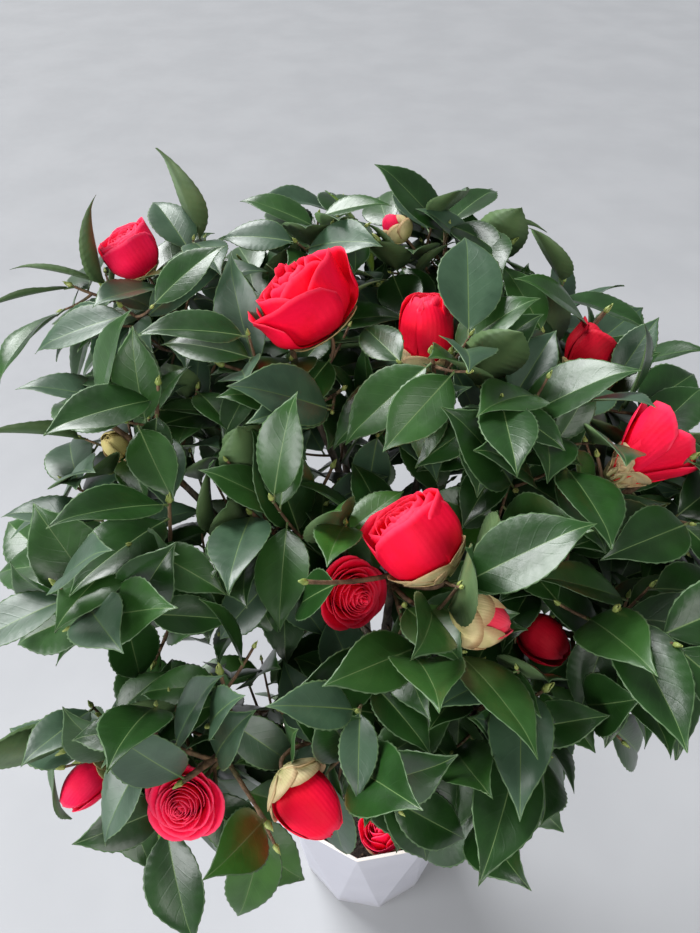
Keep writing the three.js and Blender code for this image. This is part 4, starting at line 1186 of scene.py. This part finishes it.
def bloom_mesh(bloom, heap, petal, sepal, draw):
    """Petals from the heart out by the golden turn, and sepals that hug the outermost ones."""
    form = FORMS[bloom.form]
    foot = bloom.centre - bloom.length / 2 * bloom.facing
    flare = max(0, -form["close"][1])
    widest = form["full"] * bloom.width / 2 / (1 + FLARE_ROOM * flare + form["roll"])
    for k in range(form["count"]):
        share = k / (form["count"] - 1)
        radius = widest * lerp(form["low"], 1, share**RADIUS_GROWTH)
        tall = bloom.length * lerp(*form["tall"], share) * (1 + draw(-TALL_WANDER, TALL_WANDER))
        close, span = lerp(*form["close"], share**CLOSE_GROWTH), lerp(*form["span"], share)
        grid = petal_grid(*PETAL_MESH, radius, tall, close, span, form, draw)
        turn = k * GOLDEN_TURN + draw(-TURN_WANDER, TURN_WANDER)
        closed_sheet(heap, stand(grid, foot, bloom.facing, turn), PETAL_THICK, petal)

    tall = bloom.length * form["tall"][1]
    hug = widest * (1 + FLARE_ROOM * (form["wrap"] - 1) + form["roll"]) + SEPAL_HUG
    for k in range(SEPAL_COUNT):
        reach = lerp(*SEPAL_REACH[bloom.sepal], k / (SEPAL_COUNT - 1))
        shape = dict(form, **SEPAL_SHAPE, cut=reach * (1 + draw(-SEPAL_WANDER, SEPAL_WANDER)))
        radius = hug + SEPAL_STEP * k
        grid = petal_grid(*SEPAL_MESH, radius, tall, form["close"][1], SEPAL_SPAN, shape, draw)
        points = stand(grid, foot, bloom.facing, k * GOLDEN_TURN + SEPAL_TURN)
        closed_sheet(heap, points - SEPAL_SINK * bloom.facing, SEPAL_THICK, sepal)


def winter_bud(heap, place, heading, length, draw):
    """A pointed bud of a few overlapping scales."""
    for k in range(SCALES):
        wide, tall = (length * lerp(*size, k / (SCALES - 1)) for size in (SCALE_WIDE, SCALE_TALL))
        grid = petal_grid(*SCALE_MESH, wide, tall, SCALE_CLOSE, SCALE_SPAN, SCALE_FORM, draw)
        closed_sheet(heap, stand(grid, place, heading, k * GOLDEN_TURN), SCALE_THICK, 0)


# Bark, crown and blooms on the plant

BARK_BROAD, BARK_FINE = np.array([0.16, 0.16, 0.035]), np.array([0.6, 0.6, 0.2])
BROAD_RELIEF, FINE_RELIEF, COLLAR, COLLAR_FALL = 0.07, 0.22, 0.55, 26
BOUGH_KNOTS, SHOOT_KNOTS = (0.1, 0.27, 0.13, 0.02), (0.12, 0.2, 0.1, 0.03)
TRUNK_SIDES, TRUNK_RINGS, BOUGH_SIDES, BOUGH_RINGS, BOUGH_RING_STEP = 40, 60, 18, 16, 5
SHOOT_SIDES, SHOOT_RINGS, TWIG_SIDES, TWIG_RINGS = 8, 16, 6, 8
LEAF_SEED, BUD_SEED, BLOOM_SEED, FALLEN_SEED, CHIP_SEED = 20, 4242, 531, 31, 97
SHOOT_BUD, TWIG_BUD, MASSES_PER_PIECE = (9, 13), (6, 9), 5


def bark_relief(point, radius):
    broad, fine = noise.noise(Vector(point * BARK_BROAD)), noise.noise(Vector(point * BARK_FINE))
    return radius * BROAD_RELIEF * broad + FINE_RELIEF * fine


def knots(share, height, spacing, middle, width):
    """Raised rings at even spacing along a limb: how high, how far apart, where and how wide."""
    return height * math.exp(-(((share % spacing) - middle) / width) ** 2)


def bough_swell(share):
    """A collar where a bough leaves what carries it, and old rings along it."""
    return COLLAR * math.exp(-share * COLLAR_FALL) + knots(share, *BOUGH_KNOTS)


def shoot_swell(share):
    return knots(share, *SHOOT_KNOTS)


def dress_wood():
    heap = Heap()
    tube(heap, limbs["trunk"], TRUNK_SIDES, TRUNK_RINGS, 0, bark_relief)
    for mass in masses:
        limb = limbs[mass.name]
        rings = max(BOUGH_RINGS, int(limb.span() / BOUGH_RING_STEP))
        tube(heap, limb, BOUGH_SIDES, rings, 0, bark_relief, bough_swell)
    heap.piece("bark", [BARK], ["trunk", *(f"bough_{mass.name}" for mass in masses)], "bark")


def dress_crown():
    """Leaves, a few masses to a piece, then every shoot, winter bud and bloom."""
    leaf_draw, bud_draw = np.random.RandomState(LEAF_SEED), Drawer(BUD_SEED)
    twigs, buds, petals = Heap(), Heap(), Heap()
    finish_names = [*PETALS, *SEPALS]
    groups = []
    for mass in masses:
        if mass.number % MASSES_PER_PIECE == 0:
            groups.append((Heap(), []))
        leaves, nodes = groups[-1]
        nodes.append(f"foliage_{mass.name}")
        deal_tones(mass)
        leaf_meshes(mass.leaves, leaf_draw, leaves)
        for limb, bloom in mass.shoots:
            tube(twigs, limb, SHOOT_SIDES, SHOOT_RINGS, 0, bark_relief, shoot_swell)
            if bloom:
                petal, sepal = (finish_names.index(name) for name in (bloom.petal, bloom.sepal))
                bloom_mesh(bloom, petals, petal, sepal, Drawer(BLOOM_SEED + blooms.index(bloom)))
            else:
                winter_bud(buds, limb.end, limb.heading(1), bud_draw(*SHOOT_BUD), bud_draw)
        for limb, _ in mass.twigs:
            tube(twigs, limb, TWIG_SIDES, TWIG_RINGS, 0)
            winter_bud(buds, limb.end, limb.heading(1), bud_draw(*TWIG_BUD), bud_draw)
    for number, (leaves, nodes) in enumerate(groups):
        leaves.piece(f"leaves_{number + 1}", LEAF_FINISHES, nodes, "foliage")
    every = [f"foliage_{mass.name}" for mass in masses]
    twigs.piece("twigs", [TWIG_BARK], every, "bark")
    buds.piece("winter_buds", [BUD_GREEN], every, "foliage")
    petals.piece("petals", [*PETALS.values(), *SEPALS.values()], every, "petal")


# Planter, soil and what lies on it

POT_SIDES, POT_TURN, POT_HEIGHT = 10, math.radians(-98.6), 330
POT_RIM_RADIUS, POT_BASE_RADIUS, POT_WALL, POT_ROUND = 131, 104, 4, 0.0011
SAME_PLACE, SAME_FACE, ROUND_STEPS = 1e-5, math.radians(1), 3
SOIL_ROOM, SOIL_LOWER, SOIL_MIDDLE, SOIL_FOOT, SOIL_FOOT_EDGE = 1.2, 1.2, 0.4, 6, 8
SOIL_AROUND, SOIL_RINGS, SOIL_NOISE = 120, 46, ((1.7, 0.05, 1), (0.9, 0.2, 4))
CHIPS, CHIP_ROOM, CHIP_NEAREST, CHIP_LIFT, CHIP_WANDER = 520, 4, 0.02, 0.2, 0.3
CHIP_SIZES, GRAIN_SIZES, GRAIN_SHARE, GRAIN_STRETCH = (1.2, 4.4), (0.9, 1.9), 0.16, (1, 1.9, 2)
CHIP_CORNERS = np.array([
    (1, 0, 0), (0, 0.5, 0), (-1, 0.1, 0), (0, -0.45, 0), (0.1, 0, 0.35), (0, 0, -0.35),
])
CHIP_FACES = np.array([
    (0, 1, 4), (1, 2, 4), (2, 3, 4), (3, 0, 4), (1, 0, 5), (2, 1, 5), (3, 2, 5), (0, 3, 5),
])
SOIL_COLOURS = (
    ("potting_mix", (0.014, 0.009, 0.006), (0.05, 0.034, 0.023)),
    ("bark_chips", (0.05, 0.028, 0.015), (0.13, 0.08, 0.045)),
    ("pale_grains", (0.4, 0.38, 0.34), (0.6, 0.58, 0.54)),
)
FALLEN_SHIFT, FALLEN_FACES, FALLEN_WIDER, FALLEN_LONGER = (2, 3, 8), (-0.3, 0.1, 0.9), 1.06, 1.25


def dress_pot():
    """The planter's own faces with small moulded rounds along every edge."""
    node = bpy.data.objects["pot"]
    shape = bmesh.new()
    shape.from_mesh(node.data)
    shape.transform(node.matrix_world)
    bmesh.ops.remove_doubles(shape, verts=shape.verts, dist=SAME_PLACE)
    bmesh.ops.dissolve_limit(shape, angle_limit=SAME_FACE, verts=shape.verts, edges=shape.edges)
    edges = [edge for edge in shape.edges if len(edge.link_faces) == 2]
    bmesh.ops.bevel(
        shape, geom=edges, offset=POT_ROUND, segments=ROUND_STEPS, profile=0.5, affect="EDGES"
    )
    mesh = bpy.data.meshes.new("planter")
    shape.to_mesh(mesh)
    shape.free()
    dressed("planter", mesh, [pot_finish()], ["pot"])


def soil_edge(turn, height):
    """How far the soil reaches at a turn, inside the planter's wall."""
    half_step = math.pi / POT_SIDES
    radius = lerp(POT_BASE_RADIUS, POT_RIM_RADIUS, height / POT_HEIGHT)
    reach = radius * math.cos(half_step) - POT_WALL - SOIL_ROOM
    off = (turn - POT_TURN + half_step) % (2 * half_step) - half_step
    return reach * lerp(1, 1 / math.cos(off), 0.5)


def around(turns, reaches):
    """Places at each turn round the planter's middle, each as far out as its reach."""
    return [(reach * math.cos(turn), reach * math.sin(turn)) for turn, reach in zip(turns, reaches)]


def soil_height(x, y):
    """The soil's rough top, a little mounded round the trunk."""
    past_crown = max(0, math.hypot(x, y) - SOIL_CROWN_RADIUS)
    swell = 1 - min(1, past_crown / (SOIL_SHOULDER_RADIUS - SOIL_CROWN_RADIUS))
    rough = sum(high * noise.noise(Vector((x * fine, y * fine, at))) for high, fine, at in SOIL_NOISE)
    return lerp(SOIL_LEVEL, SOIL_CROWN, swell) - SOIL_LOWER + rough


def add_chips(heap):
    """Flat chips and pale round grains that lie on the soil."""
    draw = Drawer(CHIP_SEED)
    for _ in range(CHIPS):
        turn, share = draw(0, FULL_TURN), math.sqrt(draw(CHIP_NEAREST, 1))
        reach = (soil_edge(turn, SOIL_LEVEL) - CHIP_ROOM) * share
        x, y = reach * math.cos(turn), reach * math.sin(turn)
        pale = draw(0, 1) < GRAIN_SHARE
        size = draw(*(GRAIN_SIZES if pale else CHIP_SIZES))
        lie = draw(0, FULL_TURN)
        shape = CHIP_CORNERS * GRAIN_STRETCH if pale else CHIP_CORNERS
        shape = shape * (1 + CHIP_WANDER * np.array([[draw(-1, 1) for _ in range(3)] for _ in shape]))
        turned = np.array([
            [math.cos(lie), math.sin(lie), 0], [-math.sin(lie), math.cos(lie), 0], [0, 0, 1],
        ])
        points = shape * size @ turned + (x, y, soil_height(x, y) + CHIP_LIFT * size)
        heap.add(points, CHIP_FACES, 2 if pale else 1)


def dress_soil():
    """A rough top of potting mix down inside the planter, with chips and pale grains on it."""
    heap = Heap()
    turns = np.arange(SOIL_AROUND) * FULL_TURN / SOIL_AROUND
    rows = []
    for share in (ring / SOIL_RINGS for ring in range(SOIL_RINGS + 1)):
        reaches = [max(SOIL_MIDDLE, soil_edge(turn, SOIL_LEVEL) * share) for turn in turns]
        rows.append([(x, y, soil_height(x, y)) for x, y in around(turns, reaches)])
    for reaches in ([soil_edge(turn, SOIL_FOOT_EDGE) for turn in turns], [SOIL_MIDDLE] * SOIL_AROUND):
        rows.append([(x, y, SOIL_FOOT) for x, y in around(turns, reaches)])
    heap.add(np.array(rows), grid_faces(len(rows), SOIL_AROUND, True), 0)
    add_chips(heap)
    heap.piece("potting_mix", [soil_finish(*row) for row in SOIL_COLOURS], ["soil"], "soil")


def dress_fallen_bloom():
    """The bloom that has dropped inside the planter."""
    (x, y), width, length = FALLEN_BLOOM
    lie = FALLEN_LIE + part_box("fallen_bloom")[0][2] / METRE
    middle = np.array([x, y, lie]) + FALLEN_SHIFT
    sizes = FALLEN_WIDER * width, FALLEN_LONGER * length
    bloom = Bloom("soil", middle, FALLEN_FACES, *sizes, "open", "rose_red", "tan")
    heap = Heap()
    bloom_mesh(bloom, heap, 0, 1, Drawer(FALLEN_SEED))
    finishes = [PETALS[bloom.petal], SEPALS[bloom.sepal]]
    heap.piece("dropped_bloom", finishes, ["fallen_bloom"], "petal")


# Floor, light and camera, in metres

FLOOR_SIDE, FLOOR_FINISH = 60.0, ((0.31, 0.315, 0.33), (0.335, 0.34, 0.355), 0.75, 3)
SKY_COLOUR, SKY_STRENGTH = (0.94, 0.97, 1.0), 0.22
PHOTO_WIDTH, PHOTO_HEIGHT, SENSOR, PITCH, CLIP = 700, 933, 36, math.radians(45.3), (0.02, 200)

# Each lamp: name, kind, place, what it shines at, power, colour, and its own size
LAMPS = (
    ("open_sky", "SUN", (0, 0, 0), (1.7, -1.9, -2.5), 5.3, (0.98, 0.99, 1.0),
     {"angle": math.radians(34)}),
    ("front_fill", "AREA", (0.8, -2.5, 2.5), (0, 0, 0.7), 62, (1.0, 0.99, 0.97),
     {"shape": "DISK", "size": 2.2}),
    ("side_fill", "AREA", (-2.6, -1.3, 1.5), (0, 0, 0.6), 80, (0.98, 0.99, 1.0),
     {"shape": "DISK", "size": 1.8}),
)


def floor():
    mesh = bpy.data.meshes.new("floor")
    corners = [(FLOOR_SIDE * x, FLOOR_SIDE * y, 0) for x, y in ((-1, -1), (1, -1), (1, 1), (-1, 1))]
    mesh.from_pydata(corners, [], [(0, 1, 2, 3)])
    plane = put_in_scene("floor", mesh)
    mesh.materials.append(plain_finish("pale_floor", *FLOOR_FINISH))


def light():
    world = bpy.data.worlds.new("soft_daylight")
    world.use_nodes = True
    background = world.node_tree.nodes["Background"]
    background.inputs["Color"].default_value = solid(SKY_COLOUR)
    background.inputs["Strength"].default_value = SKY_STRENGTH
    bpy.context.scene.world = world
    for name, kind, place, target, power, colour, size in LAMPS:
        data = bpy.data.lights.new(name, kind)
        for setting, value in {"energy": power, "color": colour, **size}.items():
            setattr(data, setting, value)
        lamp = put_in_scene(name, data)
        lamp.location = place
        lamp.rotation_euler = (Vector(target) - Vector(place)).to_track_quat("-Z", "Y").to_euler()
    bpy.context.scene.view_settings.view_transform = "Standard"


def camera():
    data = bpy.data.cameras.new("camera")
    data.sensor_fit, data.sensor_width = "AUTO", SENSOR
    data.lens = PHOTO_WIDTH / PHOTO_HEIGHT * SENSOR
    data.clip_start, data.clip_end = CLIP
    seat = put_in_scene("camera", data)
    seat.location = OPEN_SIDE * METRE
    seat.rotation_euler = (math.radians(90) - PITCH, 0, 0)
    bpy.context.scene.camera = seat


dress_wood()
dress_crown()
dress_pot()
dress_soil()
dress_fallen_bloom()
floor()
light()
camera()
